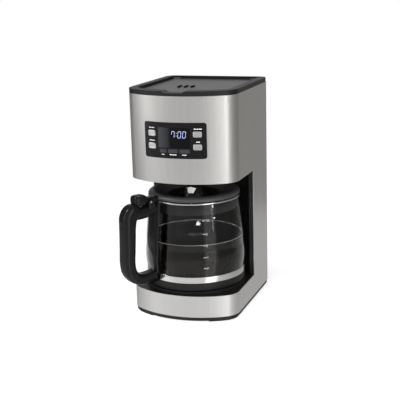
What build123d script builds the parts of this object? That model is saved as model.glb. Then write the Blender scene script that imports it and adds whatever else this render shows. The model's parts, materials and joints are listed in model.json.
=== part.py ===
from build123d import *
import os
from math import atan2, cos, degrees, hypot, radians, sin, sqrt

# Twelve-cup programmable drip coffee maker, in millimetres.
# +Z is up and the front faces -Y. The origin is on the table, under the middle of the body's
# footprint. Each function returns one physical piece, and the table at the end names them.

# Casing
height = 340.0
tower_half = 82.5
wrap_step = 0.5
upper_half = tower_half + wrap_step
front_radius = 130.0
base_front = -105.0
head_setback = 6.0
upper_front = base_front + head_setback
back = 100.0
front_corner = 30.0
back_corner = 8.0
rim_rear_corner = 13.0
steel = 1.0
wall = 2.0
sheet_split = 17.0
rear_cover_wall = 3.0
rear_cover_lip = 8.0
air_slot_pitch = 8.0
air_slot_height = 3.0
air_slot_half = 45.0

# Base
foot_height = 2.0
cover_floor = 5.2
cover_top = foot_height + cover_floor
deck_top = 40.0
deck_thickness = 3.0
foot_inset = 2.2
foot_inlay = 1.5
foot_width = 38.0
foot_depth = 32.0
post_radius = 4.5
post_inset = 14.5
post_x = 40.0
screw_radius = 1.5
screw_head_radius = 3.0
screw_head_height = 1.6
floor_slot_half = 20.0
floor_slot_front = 34.0

# Warming plate and the bay that the carafe stands in
axis_y = -20.8
glass_radius = 76.7
bay_room = 7.3
bay_radius = glass_radius + bay_room
bay_wall = 2.2
glass_foot_radius = glass_radius - 10.7
plate_radius = glass_foot_radius
plate_thickness = 2.6
gasket_width = 6.0
gasket_thickness = 1.0
plate_gap = 0.5
plate_top = deck_top + gasket_thickness + plate_thickness
carafe_gap = 0.4
carafe_bottom = plate_top + carafe_gap

# Carafe: glass, band and rings
glass_wall = 2.2
glass_band_radius = glass_radius - 4.3
glass_shoulder_radius = glass_radius - 0.7
glass_mouth_radius = glass_radius - 8.1
foot_ring_floor = 2.2
glass_bottom = carafe_bottom + foot_ring_floor
glass_height = 131.0
glass_mouth = glass_bottom + glass_height
glass_base_corner = glass_bottom + 4.3
band_bottom = glass_bottom + 9.7
band_height = 9.8
band_top = band_bottom + band_height
band_thickness = 3.0
band_outer = glass_band_radius + band_thickness
foot_ring_outer = band_outer - 0.2
plinth_radius = foot_ring_outer + 0.8
plinth_height = 3.2
glass_belly = band_bottom + 28.1
glass_shoulder = band_bottom + 50.1
fitted = 0.05
neck_ring_bottom = glass_mouth - 3.4
neck_ring_height = 2.0
neck_ring_wall = 1.3

# Carafe lid
lid_gap = 0.4
lid_side_gap = 0.6
carafe_lid_radius = glass_mouth_radius + 1.0
crown_inset = 6.6
carafe_lid_crown = glass_mouth + 6.8
carafe_lid_wall = 2.5
shoulder_drop = 4.8
skirt_radius = glass_mouth_radius - glass_wall - 1.0
skirt_bottom = glass_mouth - 20.2
dish_radius = 20.0
dish_level = carafe_lid_crown - 11.5
hub_foot_radius = dish_radius - 1.0
hub_top_radius = 12.5
hub_top = carafe_lid_crown + 4.5
hub_wall = 2.0
hub_hole = 7.0
shield_half = 7.2
shield_foot_half = 4.4
shield_height = 9.0
shield_inset = 0.8

# Carafe handle, in its own plane: radius out from the carafe's axis, and height
handle_bearing = -125.4
handle_half = 11.5
carafe_hinge_radius = glass_mouth_radius + 15.4
carafe_hinge_z = glass_mouth + 0.3
grip_top_radius = carafe_hinge_radius + 43.0
grip_bottom_radius = carafe_hinge_radius + 47.5
grip_top_corner = 17.0
grip_bottom_corner = 29.0
grip_edge = 4.0
handle_top = glass_mouth + 1.8
handle_bottom = carafe_bottom + 7.0
arm_top = glass_mouth - 6.2
knob_pocket_end = carafe_hinge_radius + 24.0
grip_thickness = 17.0
top_arm_depth = 20.5
lower_arm_depth = 16.0
gap_corner = 14.0
strut_thickness = 3.2
strut_half_angle = 13.0
strut_gap = 0.3
carafe_pin_radius = 1.6
lever_half = 6.8
lug_half_length = 4.5
knuckle_radius = 4.0
knob_centre_radius = carafe_hinge_radius + 12.5
knob_radius = 9.4
knob_clearance = 1.6
turning_fit = 0.05
side_play = 0.4

# Drip stop, which the carafe's hub would lift
hub_gap = 6.0
stop_tip_bottom = hub_top + hub_gap
stop_tip_radius = 7.0
stop_tip_height = 3.0
nozzle_radius = 13.0
nozzle_bottom = stop_tip_bottom + 10.5
nozzle_wall = 3.0
nozzle_play = 3.0
nozzle_recess = 2.0
seat_level = nozzle_bottom + 9.0
seat_height = 2.0
seat_radius = 6.0
stem_radius = 3.5
stop_head_radius = 8.5
stop_head_height = 2.0
seal_height = 1.0
spring_outer = 6.0
spring_inner = 4.6

# Brew housing, rim and top lid
bay_top = nozzle_bottom + nozzle_recess
ceiling = 3.0
rim_height = 7.0
rim_bottom = height - rim_height
rim_width = 11.7
opening_half = upper_half - rim_width
opening_front = upper_front + 18.0
opening_back = back - 6.5
opening_corner = 14.0
opening_rear_corner = 1.0
lid_play = 0.8
lid_recess = 4.0
lid_top = height - lid_recess
lid_thickness = 3.0
lid_bottom = lid_top - lid_thickness
ledge_width = 3.0
ledge_gap = 0.3
ledge_height = 2.0
lid_hinge_y = opening_back - 4.5
lid_hinge_z = lid_top - lid_thickness / 2
lid_knuckle_radius = 3.3
lid_pin_radius = 1.5
lid_knuckle_length = 12.0
notch_half = 12.5
notch_slope = 5.0
notch_depth = 2.8
vent_length = 16.5
vent_width = 3.0
vent_pitch = 9.8
vent_start = (-20.4, -15.4)
vent_stagger = 1.2

# Basket
basket_radius = 54.0
basket_wall = 2.0
basket_flange = 4.0
basket_rim = 3.0
basket_top = lid_top - 20.0
basket_floor = nozzle_bottom + 23.0
basket_floor_radius = basket_radius - 16.0
drain_radius = 1.2
cup_play = 2.0
cup_wall = 2.0
cup_outer = basket_radius + cup_play + cup_wall
cup_top = basket_top + 6.0
shower_radius = basket_radius - 28.0
shower_bottom = lid_top - 15.0
shower_wall = 1.6
shower_hole = 1.3
shower_margin = 10.0
channel_width = 14.0
channel_depth = 6.5
channel_wall = 1.4

# Water tank and water path
tank_play = 1.0
tank_wall = 2.2
tank_bottom = deck_top + 22.0
tank_step = bay_top + ceiling + 2.0
tank_top = lid_top - 14.0
tank_corner = 5.0
pipe_x = 31.0
pipe_y = back - 21.0
pipe_radius = 5.0
pipe_bore = 2.8
pipe_top = lid_top - 13.0
stub_radius = 4.0
stub_length = 10.0
hose_radius = 6.0
hose_lift = 0.8
hose_level = cover_top + hose_radius + hose_lift
hose_bend = 9.0
stub_end_gap = 0.5
valve_radius = 7.5
valve_length = 12.0
overflow_radius = 1.6
overflow_y = back - 28.0
overflow_z = tank_top - 16.0
cage_radius = 10.0
cage_wall = 1.6
cage_height = 34.0
cage_slot_pitch = 7.0

# Heater under the plate
element_ring = plate_radius - 22.0
element_radius = 6.0
element_opening = 90.0
clamp_width = 16.0
clamp_half = plate_radius - 10.0
clamp_thickness = 2.5
stud_radius = 3.0
stud_play = 0.2
stud_end = 2.0
nut_width = 10.0
nut_height = 4.0
sensor_offset = 24.0
thermostat_radius = 7.5
thermostat_height = 6.0
fuse_radius = 2.5
fuse_length = 14.0

# Power board on the bottom cover, between the hoses
hose_end = element_ring * cos(radians(90 - element_opening / 2))
power_half = min(22.0, hose_end - hose_radius - 1.0)
power_front = 22.0
power_back = 62.0
board_foot = 2.0
board_thickness = 1.6

# Cord inlet
gland_radius = 5.5
gland_bore = 3.4
gland_flange = 2.0
gland_x = -52.0
gland_z = deck_top - 16.0

# Control panel on the bowed front
panel_half = 47.0
panel_drop = 37.0
panel_height = 51.6
panel_top = rim_bottom - panel_drop
panel_bottom = panel_top - panel_height
panel_corner = 3.5
panel_proud = 0.8
panel_depth = steel + wall
display_half = 24.0
display_bottom = panel_bottom + 15.0
display_top = panel_top - 7.3
display_frame = 2.0
display_corner = 1.2
lens_thickness = 1.5
button_width = 12.4
button_height = 8.6
button_x = panel_half - 12.4
button_rows = (panel_bottom + 17.0, panel_bottom + 35.3)
key_height = 5.6
key_drop = 4.2
key_z = display_bottom - key_drop
key_gap = 2.5
key_start = 2.0 - display_half
key_widths = (10.8, 14.6, 15.0)
button_proud = 1.2
key_proud = 0.4
button_play = 0.35
button_corner = 2.0
key_corner = 0.8
button_flange = 0.9
flange_gap = 0.3
press_gap = 1.2
board_room = 1.1
board_front = axis_y - cup_outer - board_room - board_thickness
board_half = panel_half - 1.0
board_margin = 2.0
switch_height = 3.5
switch_half = 3.0
switch_inset = 0.6
stem_push_radius = 2.0
boss_radius = 2.2
boss_inset = 3.2
through = 10.0


def plan(half, front, inset=0.0, rear=back, corner=front_corner, rear_corner=back_corner):
    """Casing outline seen from above: bowed front, straight sides and flat back."""
    side = half - inset
    radius = front_radius - inset
    centre = front + front_radius
    shoulder = centre - sqrt(radius**2 - side**2)
    bow = ThreePointArc((-side, shoulder), (0, front + inset), (side, shoulder))
    rest = Polyline((side, shoulder), (side, rear - inset), (-side, rear - inset), (-side, shoulder))
    face = make_face(Curve() + [bow, rest])
    face = fillet(face.vertices().sort_by(Axis.Y)[:2], max(corner - inset, 1.0))
    return fillet(face.vertices().sort_by(Axis.Y)[-2:], max(rear_corner - inset, 1.0))


def slab(face, bottom, top):
    """A flat outline raised between two levels."""
    return Pos(0, 0, bottom) * extrude(face, top - bottom)


def block(x0, x1, y0, y1, z0, z1):
    """A box given by its limits."""
    return Pos((x0 + x1) / 2, (y0 + y1) / 2, (z0 + z1) / 2) * Box(x1 - x0, y1 - y0, z1 - z0)


def rod(x, y, z0, z1, radius):
    """An upright cylinder."""
    return Pos(x, y, (z0 + z1) / 2) * Cylinder(radius, z1 - z0)


def behind(y, z0=0.0, z1=height, reach=150.0):
    """Everything behind the plane at y."""
    return block(-reach, reach, y, y + 2 * reach, z0, z1)


def ahead(y, z0=0.0, z1=height, reach=150.0):
    """Everything in front of the plane at y."""
    return block(-reach, reach, y - 2 * reach, y, z0, z1)


def upper_plan(inset=0.0, rear_corner=back_corner):
    return plan(upper_half, upper_front, inset, rear_corner=rear_corner)


def base_plan(inset=0.0):
    return plan(tower_half, base_front, inset)


def opening_plan(inset=0.0):
    """The opening in the top rim, which the lid fills."""
    return plan(opening_half, opening_front, inset, opening_back, opening_corner, opening_rear_corner)


def revolved(face):
    """A half section turned about the carafe's axis."""
    return Pos(0, axis_y, 0) * revolve(Plane.XZ * face, Axis.Z)


def ring(inner, outer, bottom, top):
    """A ring of square section about the carafe's axis."""
    return rod(0, axis_y, bottom, top, outer) - rod(0, axis_y, bottom, top, inner)


def in_handle_plane(shape):
    """Places a shape drawn with X outwards so that it faces along the handle."""
    return Pos(0, axis_y, 0) * Rot(0, 0, handle_bearing) * shape


def handle_slab(face, half, offset=0.0):
    """An outline in the handle's plane, thickened to both sides of it."""
    return in_handle_plane(Pos(0, offset, 0) * extrude(Plane.XZ * face, half, both=True))


def front_piece(x0, x1, z0, z1, outside, inside, corner):
    """A rounded rectangle of the bowed front, between two offsets from its surface."""
    outline = Pos((x0 + x1) / 2, (z0 + z1) / 2) * RectangleRounded(x1 - x0, z1 - z0, corner)
    prism = Pos(0, upper_front + front_corner, 0) * extrude(Plane.XZ * outline, 2 * front_corner)
    centre = upper_front + front_radius
    outer = rod(0, centre, z0 - 1, z1 + 1, front_radius + outside)
    return prism & (outer - rod(0, centre, z0 - 2, z1 + 2, front_radius - inside))


# Casing pieces


def rubber_feet():
    """Four corner pads that follow the casing's outline."""
    pad = slab(base_plan(foot_inset), 0, foot_height + foot_inlay)
    rows = ((base_front, base_front + foot_depth + front_corner / 3), (back - foot_depth, back))
    pads = []
    for start, end in rows:
        strip = pad & block(-2 * tower_half, 2 * tower_half, start, end, 0, height)
        for side in (-1, 1):
            far = side * 2 * tower_half
            near = side * (tower_half - foot_width)
            pads.append(strip & block(min(near, far), max(near, far), start, end, 0, height))
    return pads


def post_places():
    """Where the cover's screws stand: two at the front and one at each side."""
    rows = [(side * post_x, base_front + post_inset + wall + front_corner / 5) for side in (-1, 1)]
    return rows + [(side * (tower_half - post_inset), 0.0) for side in (-1, 1)]


def bottom_cover():
    cover = slab(base_plan(steel), foot_height, cover_top)
    for pad in rubber_feet():
        cover -= pad
    for x, y in post_places():
        cover -= rod(x, y, foot_height, cover_top, screw_radius)
        cover -= rod(x, y, foot_height, foot_height + screw_head_height, screw_head_radius)
    for row in range(6):
        start = floor_slot_front + (air_slot_pitch - 1) * row
        cover -= block(-floor_slot_half, floor_slot_half, start, start + air_slot_height, 0, cover_top)
    return cover


def cover_screws():
    screws = []
    for x, y in post_places():
        head = rod(x, y, foot_height, foot_height + screw_head_height, screw_head_radius)
        screws.append(head + rod(x, y, foot_height + screw_head_height, deck_top / 2, screw_radius))
    return screws


def lower_wrap():
    """One brushed sheet: the band round the base and the two tower sides."""
    sheet = slab(base_plan() - base_plan(steel), cover_top, rim_bottom)
    sheet -= ahead(sheet_split, deck_top)
    sheet -= behind(back - rear_cover_lip)
    return sheet - overflow_bore()


def overflow_bore():
    across = Pos(tower_half, overflow_y, overflow_z) * Rot(0, 90, 0)
    return across * Cylinder(overflow_radius, 4 * wall + 2 * tank_wall)


def base_shell():
    """Chassis of the base: skirt, deck, plinth round the warming plate and screw posts."""
    skirt = slab(base_plan(steel) - base_plan(steel + wall), cover_top, deck_top)
    skirt -= behind(back - rear_cover_lip)
    deck = slab(base_plan(steel + wall), deck_top - deck_thickness, deck_top)
    deck -= behind(sheet_split) - rod(0, axis_y, 0, deck_top, bay_radius)
    plinth = rod(0, axis_y, deck_top, deck_top + plinth_height, plinth_radius)
    shell = skirt + deck + plinth
    shell -= rod(0, axis_y, deck_top, height, plate_radius + plate_gap)
    shell -= rod(0, axis_y, 0, height, plate_radius - gasket_width)
    for x, y in post_places():
        shell += rod(x, y, cover_top, deck_top - deck_thickness, post_radius)
        shell -= rod(x, y, cover_top, deck_top / 2, screw_radius)
    return shell


def tower_shell():
    """Curved wall behind the carafe, with the tower's side linings, in one moulding."""
    lining = slab(base_plan(steel) - base_plan(steel + wall), deck_top, rim_bottom)
    lining = lining & behind(sheet_split) & ahead(back - rear_cover_lip)
    wings = slab(base_plan(steel), deck_top, bay_top) & behind(sheet_split) & ahead(sheet_split + wall)
    bay = ring(bay_radius, bay_radius + bay_wall, deck_top, bay_top) & behind(sheet_split)
    bay = bay & slab(base_plan(steel), deck_top, bay_top)
    wings -= rod(0, axis_y, 0, height, bay_radius)
    return lining + wings + bay - overflow_bore()


def rear_cover():
    """Black back of the machine, with its corners, air slots and the cord's inlet."""
    cover = slab(base_plan() - base_plan(rear_cover_wall), cover_top, rim_bottom)
    cover = cover & behind(back - rear_cover_lip)
    for row in range(7):
        start = tank_step + 2 + air_slot_pitch * row
        cover -= block(-air_slot_half, air_slot_half, back - 2 * rear_cover_wall, back + 1,
                       start, start + air_slot_height)
    return cover - cord_inlet(gland_radius)


def cord_inlet(radius):
    return Pos(gland_x, back, gland_z) * Rot(90, 0, 0) * Cylinder(radius, 4 * rear_cover_wall)


def cord_gland():
    """Grommet in the back, where a mains cord enters."""
    collar = Pos(gland_x, back, gland_z) * Rot(90, 0, 0)
    neck = Pos(0, 0, rear_cover_wall / 2) * Cylinder(gland_radius, rear_cover_wall)
    inside = Pos(0, 0, rear_cover_wall + gland_flange / 2) * Cylinder(gland_radius + 2, gland_flange)
    return collar * (neck + inside - Cylinder(gland_bore, 8 * rear_cover_wall))


def upper_wrap():
    """Brushed sheet round the front of the brew housing, with the panel's window."""
    sheet = slab(upper_plan() - upper_plan(steel), bay_top, rim_bottom) & ahead(sheet_split)
    return sheet - panel_window()


def panel_window():
    return front_piece(-panel_half, panel_half, panel_bottom, panel_top, through, through, panel_corner)


def brew_housing():
    """Black moulding inside the upper wrap: ceiling of the bay, lining and basket cup."""
    lining = slab(upper_plan(steel) - upper_plan(steel + wall), bay_top, rim_bottom)
    roof = slab(upper_plan(steel + wall), bay_top, bay_top + ceiling)
    shell = (lining + roof) & ahead(sheet_split)
    lobe = rod(0, axis_y, bay_top, bay_top + ceiling, bay_radius + bay_wall) & behind(sheet_split)
    lobe = lobe & slab(base_plan(steel + wall), bay_top, bay_top + ceiling)
    cup = ring(cup_outer - cup_wall, cup_outer, bay_top + ceiling, cup_top)
    shell = shell + lobe + cup - panel_window()
    return shell - rod(0, axis_y, 0, bay_top + ceiling, nozzle_radius + nozzle_play)


def top_rim():
    """Black frame round the top, with a ledge for the lid and a dip for a finger at the front."""
    skirt_bottom_z = lid_bottom - ledge_gap - ledge_height
    frame = slab(upper_plan(rear_corner=rim_rear_corner) - opening_plan(), rim_bottom, height)
    skirt = slab(opening_plan(-wall) - opening_plan(), skirt_bottom_z, rim_bottom)
    ledge = slab(opening_plan() - opening_plan(ledge_width), skirt_bottom_z, skirt_bottom_z + ledge_height)
    ledge = ledge & ahead(lid_hinge_y - 3 * lid_knuckle_radius)
    frame = frame + skirt + ledge - finger_dip()
    for side in (-1, 1):
        frame -= hinge_rod(side, lid_pin_radius, opening_half - opening_corner,
                           opening_half + lid_knuckle_length / 2)
    return frame


def finger_dip():
    """Sloped-sided hollow across the front of the rim, where a finger gets under the lid."""
    floor = height - notch_depth
    wide = notch_half + notch_slope
    face = make_face(Polyline((-wide, height), (-notch_half, floor), (notch_half, floor),
                              (wide, height), (wide, height + 1), (-wide, height + 1), close=True))
    return Pos(0, (upper_front + opening_front) / 2, 0) * extrude(Plane.XZ * face, rim_width, both=True)


def hinge_rod(side, radius, start, end):
    """A cylinder on the top lid's hinge line, on one side."""
    middle = side * (start + end) / 2
    return Pos(middle, lid_hinge_y, lid_hinge_z) * Rot(0, 90, 0) * Cylinder(radius, end - start)


def lid_hinge_pins():
    start = opening_half - lid_knuckle_length - lid_play
    end = opening_half + lid_knuckle_length / 2
    return [hinge_rod(side, lid_pin_radius, start, end) for side in (-1, 1)]


# Top lid


def tank_lid():
    """Flush top lid with two hinge knuckles and three steam slots."""
    lid = slab(opening_plan(lid_play), lid_bottom, lid_top)
    knuckle_end = opening_half - lid_play
    knuckle_start = knuckle_end - lid_knuckle_length
    for side in (-1, 1):
        lid += hinge_rod(side, lid_knuckle_radius, knuckle_start, knuckle_end)
        lid -= hinge_rod(side, lid_pin_radius + turning_fit, knuckle_start - 1, knuckle_end + 1)
    for place in range(3):
        slot = Rot(0, 0, 90) * SlotCenterToCenter(vent_length - vent_width, vent_width)
        x, y = vent_start[0] + vent_pitch * place, vent_start[1] + vent_stagger * place
        lid -= Pos(x, y, lid_top) * extrude(slot, 2 * lid_thickness, both=True)
    return lid


def channel_run():
    """Length and bearing of the water channel, from the pipe to the shower head."""
    return hypot(pipe_x, pipe_y - axis_y), degrees(atan2(axis_y - pipe_y, -pipe_x))


def channel_block(margin, start, end, bottom, top):
    """A bar along the channel's run, measured from the pipe's centre."""
    bearing = channel_run()[1]
    bar = block(start, end, -channel_width / 2 + margin, channel_width / 2 - margin, bottom, top)
    return Pos(pipe_x, pipe_y, 0) * Rot(0, 0, bearing) * bar


def water_channel():
    """Covered gutter under the lid, which takes hot water from the pipe to the shower."""
    bottom = lid_bottom - channel_depth
    end = channel_run()[0] - shower_radius
    gutter = channel_block(0, -pipe_radius, end, bottom, lid_bottom)
    gutter -= channel_block(channel_wall, -pipe_radius + channel_wall, end + 1,
                            bottom + channel_wall, lid_bottom)
    return gutter - rod(pipe_x, pipe_y, 0, bottom + 2 * channel_wall, stub_radius)


def shower_head():
    drum = rod(0, axis_y, shower_bottom, lid_bottom, shower_radius)
    drum -= rod(0, axis_y, shower_bottom + shower_wall, lid_bottom, shower_radius - shower_wall)
    length = channel_run()[0]
    drum -= channel_block(channel_wall, length - 2 * shower_radius, length - shower_radius / 2,
                          lid_bottom - channel_depth + channel_wall, lid_bottom)
    outer_circle = shower_radius - shower_margin
    for count, circle in ((6, outer_circle / 2), (10, outer_circle)):
        for place in PolarLocations(circle, count):
            drum -= Pos(0, axis_y, shower_bottom) * place * Cylinder(shower_hole, 4 * shower_wall)
    return drum


# Basket and drip stop


def filter_basket():
    """Tapered basket with a flange, a drilled floor and the nozzle that holds the drip stop."""
    body_radius = basket_radius - basket_flange
    outer = Polyline((nozzle_radius, basket_floor), (basket_floor_radius, basket_floor),
                     (body_radius, basket_top - basket_rim), (basket_radius, basket_top - basket_rim),
                     (basket_radius, basket_top), (body_radius - basket_wall, basket_top),
                     (basket_floor_radius - basket_wall, basket_floor + basket_wall),
                     (0, basket_floor + basket_wall), (0, basket_floor), (nozzle_radius, basket_floor))
    basket = revolved(make_face(outer))
    bore = nozzle_radius - nozzle_wall
    basket += ring(bore, nozzle_radius, nozzle_bottom, basket_floor)
    basket += ring(seat_radius, nozzle_radius, seat_level, seat_level + seat_height)
    for place in PolarLocations(bore - 2, 8):
        basket -= Pos(0, axis_y, basket_floor) * place * Cylinder(drain_radius, 4 * basket_wall)
    return basket


def drip_stop_valve():
    """Plunger that the carafe's hub lifts off its seat."""
    head_bottom = seat_level + seat_height + seal_height
    valve = rod(0, axis_y, stop_tip_bottom, stop_tip_bottom + stop_tip_height, stop_tip_radius)
    valve += rod(0, axis_y, stop_tip_bottom, head_bottom, stem_radius)
    return valve + rod(0, axis_y, head_bottom, head_bottom + stop_head_height, stop_head_radius)


def drip_stop_seal():
    bottom = seat_level + seat_height
    return ring(stem_radius, stop_head_radius, bottom, bottom + seal_height)


def drip_stop_spring():
    bottom = seat_level + seat_height + seal_height + stop_head_height
    return ring(spring_inner, spring_outer, bottom, basket_floor)


# Water path


def tank_section(inset, circle):
    """Plan of the tank at one level: the tower's inside less a round bay about the carafe axis."""
    half = tower_half - steel - wall - tank_play - inset
    rear = back - rear_cover_wall - tank_play - inset
    front = sheet_split + inset + 2 * wall
    face = Pos(0, (front + rear) / 2) * Rectangle(2 * half, rear - front)
    face = fillet(face.vertices().sort_by(Axis.Y)[-2:], tank_corner)
    return face - Pos(0, axis_y) * Circle(circle + inset)


def water_tank():
    """Open-topped tank that fills the tower and widens round the basket's cup."""
    lower = bay_radius + bay_wall + tank_play
    upper = cup_outer + tank_play
    tank = slab(tank_section(0, lower), tank_bottom, tank_step + tank_wall)
    tank += slab(tank_section(0, upper), tank_step, tank_top)
    tank -= slab(tank_section(tank_wall, lower), tank_bottom + tank_wall, tank_step + tank_wall)
    tank -= slab(tank_section(tank_wall, upper), tank_step + tank_wall, tank_top)
    tank -= rod(pipe_x, pipe_y, 0, tank_bottom + tank_wall, pipe_radius)
    spigot_bottom = tank_bottom - stub_length
    tank += rod(-pipe_x, pipe_y, spigot_bottom, tank_bottom, pipe_radius)
    return tank - rod(-pipe_x, pipe_y, 0, tank_bottom + tank_wall, pipe_bore) - overflow_bore()


def riser_pipe():
    """Hot water pipe that stands in the tank and ends under the lid's channel."""
    pipe = rod(pipe_x, pipe_y, tank_bottom - stub_length / 2, pipe_top, pipe_radius)
    pipe += rod(pipe_x, pipe_y, tank_bottom - 1.5 * stub_length, tank_bottom, stub_radius)
    return pipe - rod(pipe_x, pipe_y, 0, height, pipe_bore)


def check_valve():
    top = tank_bottom - stub_length
    body = rod(-pipe_x, pipe_y, top - valve_length, top, valve_radius)
    body += rod(-pipe_x, pipe_y, top - valve_length - stub_length, top, stub_radius)
    return body - rod(-pipe_x, pipe_y, 0, top, pipe_bore)


def element_end(side):
    angle = radians(90 - side * element_opening / 2)
    return element_ring * cos(angle), axis_y + element_ring * sin(angle)


def hose(side, top):
    """Silicone hose from one end of the heater, under the deck and up at the back."""
    x, y = element_end(side)
    start = hose_start()
    points = [(x, y, start), (x, y, hose_level), (side * pipe_x, pipe_y, hose_level),
              (side * pipe_x, pipe_y, top)]
    route = FilletPolyline(*points, radius=hose_bend)
    section = Plane((x, y, start), z_dir=(0, 0, -1)) * (Circle(hose_radius) - Circle(stub_radius))
    return sweep(section, route)


def hose_start():
    return element_level() - element_radius - 1.0


def element_level():
    return plate_top - plate_thickness - element_radius


def cold_hose():
    return hose(-1, tank_bottom - stub_length - valve_length)


def hot_hose():
    return hose(1, tank_bottom - stub_length / 2)


def heating_element():
    """Horseshoe heater with a water tube in it, clamped under the warming plate."""
    start = 90 + element_opening / 2
    level = element_level()
    path = CenterArc((0, axis_y, level), element_ring, start, 360 - element_opening)
    x, y = element_end(-1)
    across = Plane((x, y, level), z_dir=path % 0)
    body = sweep(across * Circle(element_radius), path)
    for side in (-1, 1):
        x, y = element_end(side)
        body += rod(x, y, hose_level + hose_bend + stub_end_gap, level, stub_radius)
        body += Pos(x, y, level) * Sphere(element_radius)
    return body


def warming_plate():
    """Coated plate with a rolled edge and a threaded stud below."""
    bottom = plate_top - plate_thickness
    plate = rod(0, axis_y, bottom, plate_top, plate_radius)
    plate = fillet(plate.edges().group_by(Axis.Z)[-1], plate_thickness / 3)
    return plate + rod(0, axis_y, bottom - stud_length(), bottom, stud_radius)


def stud_length():
    return 2 * element_radius + clamp_thickness + nut_height + stud_end


def plate_gasket():
    return ring(plate_radius - gasket_width, plate_radius, deck_top, deck_top + gasket_thickness)


def clamp_top():
    return element_level() - element_radius


def heater_clamp():
    top = clamp_top()
    bar = block(-clamp_half, clamp_half, axis_y - clamp_width / 2, axis_y + clamp_width / 2,
                top - clamp_thickness, top)
    return bar - rod(0, axis_y, 0, height, stud_radius + stud_play)


def clamp_nut():
    top = clamp_top() - clamp_thickness
    nut = Pos(0, axis_y, top - nut_height) * extrude(RegularPolygon(nut_width / 2, 6), nut_height)
    return nut - rod(0, axis_y, 0, height, stud_radius)


def thermostat():
    """Round thermostat under the clamp, with two blade terminals."""
    top = clamp_top() - clamp_thickness
    body = rod(sensor_offset, axis_y, top - thermostat_height, top, thermostat_radius)
    for side in (-1, 1):
        x = sensor_offset + side * thermostat_radius / 2
        body += block(x - 1, x + 1, axis_y - 3, axis_y + 3,
                      top - 2 * thermostat_height, top - thermostat_height)
    return body


def thermal_fuse():
    top = clamp_top() - clamp_thickness
    spot = Pos(-sensor_offset, axis_y, top - fuse_radius) * Rot(0, 90, 0)
    return spot * Cylinder(fuse_radius, fuse_length)


def power_board():
    """Board with its relay, transformer and capacitor, on the bottom cover."""
    under = cover_top + board_foot
    top = under + board_thickness
    board = block(-power_half, power_half, power_front, power_back, under, top)
    for x in (4 - power_half, power_half - 4):
        for y in (power_front + 4, power_back - 4):
            board += rod(x, y, cover_top, under, 2.5)
    board += block(4 - power_half, -2, power_front + 4, power_front + 22, top, top + 14)
    board += block(3, power_half - 4, power_front + 4, power_front + 16, top, top + 9)
    return board + rod(power_half / 2, power_back - 12, top, top + 12, 5)


def filter_holder():
    """Cage for a charcoal filter, standing in the tank on the cold side."""
    bottom = tank_bottom + tank_wall
    top = bottom + cage_height
    cage = rod(-pipe_x, pipe_y, bottom, top, cage_radius)
    cage -= rod(-pipe_x, pipe_y, bottom, top - 2, cage_radius - cage_wall)
    for row in range(4):
        start = bottom + 4 + cage_slot_pitch * row
        cage -= block(-pipe_x - 2 * cage_radius, -pipe_x + 2 * cage_radius, pipe_y - 3, pipe_y + 3,
                      start, start + 4)
    return cage + rod(-pipe_x, pipe_y, top, top + 12, 3)


# Control panel


def button_cells():
    """Name, limits in x and z, stand-off and corner of every push button on the panel."""
    cells = []
    names = (("hour", "minute"), ("program", "power"))
    for side, pair in zip((-1, 1), names):
        for z, name in zip(button_rows, pair):
            x = side * button_x
            cells.append((name + "_button", x - button_width / 2, x + button_width / 2,
                          z - button_height / 2, z + button_height / 2, button_proud, button_corner))
    start = key_start
    for name, width in zip(("clean", "strength", "volume"), key_widths):
        cells.append((name + "_key", start, start + width,
                      key_z - key_height / 2, key_z + key_height / 2, key_proud, key_corner))
        start += width + key_gap
    return cells


def bow_y(inset, x):
    """Where the bowed front, moved in by an inset, is at one x."""
    return upper_front + front_radius - sqrt((front_radius - inset)**2 - x**2)


def push_rod(x, z, start, end, radius):
    """A cylinder along Y behind the panel."""
    return Pos(x, (start + end) / 2, z) * Rot(90, 0, 0) * Cylinder(radius, end - start)


def control_panel():
    """Bezel that fills the window in the front, with openings for the display and buttons."""
    panel = front_piece(-panel_half, panel_half, panel_bottom, panel_top, panel_proud,
                        panel_depth, panel_corner)
    panel -= display_lens()
    edge = display_half - display_frame
    panel -= front_piece(-edge, edge, display_bottom + display_frame, display_top - display_frame,
                         through, through, 1.0)
    for _, x0, x1, z0, z1, _, corner in button_cells():
        panel -= front_piece(x0 - button_play, x1 + button_play, z0 - button_play, z1 + button_play,
                             through, through, corner + button_play)
    for side in (-1, 1):
        x = side * (board_half - boss_inset)
        for z in (panel_bottom + boss_inset, panel_top - boss_inset):
            panel += push_rod(x, z, bow_y(panel_depth - 0.5, x), board_front, boss_radius)
    return panel


def display_lens():
    return front_piece(-display_half, display_half, display_bottom, display_top, panel_proud,
                       lens_thickness - panel_proud, display_corner)


def display_module():
    edge = display_half - display_frame
    front = bow_y(panel_depth, edge) + fitted
    return block(-edge, edge, front, board_front, display_bottom + display_frame,
                 display_top - display_frame)


def control_board():
    """Board behind the panel, with a small switch behind each button."""
    board = block(-board_half, board_half, board_front, board_front + board_thickness,
                  panel_bottom - board_margin, panel_top + board_margin)
    for _, x0, x1, z0, z1, _, _ in button_cells():
        x, z = (x0 + x1) / 2, (z0 + z1) / 2
        half = key_height / 2 - switch_inset
        board += block(x - switch_half, x + switch_half, board_front - switch_height, board_front,
                       z - half, z + half)
    return board


def push_button(x0, x1, z0, z1, proud, corner):
    """Cap through the panel, flange behind it, and a stem that reaches its switch."""
    behind_panel = panel_depth + flange_gap
    cap = front_piece(x0, x1, z0, z1, panel_proud + proud, behind_panel + 0.5, corner)
    flange = front_piece(x0 - button_flange, x1 + button_flange, z0 - button_flange / 2,
                         z1 + button_flange / 2, -behind_panel, behind_panel + 1, corner)
    x = (x0 + x1) / 2
    end = board_front - switch_height - press_gap
    return cap + flange + push_rod(x, (z0 + z1) / 2, bow_y(behind_panel + 0.5, x), end, stem_push_radius)


# Carafe


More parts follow.
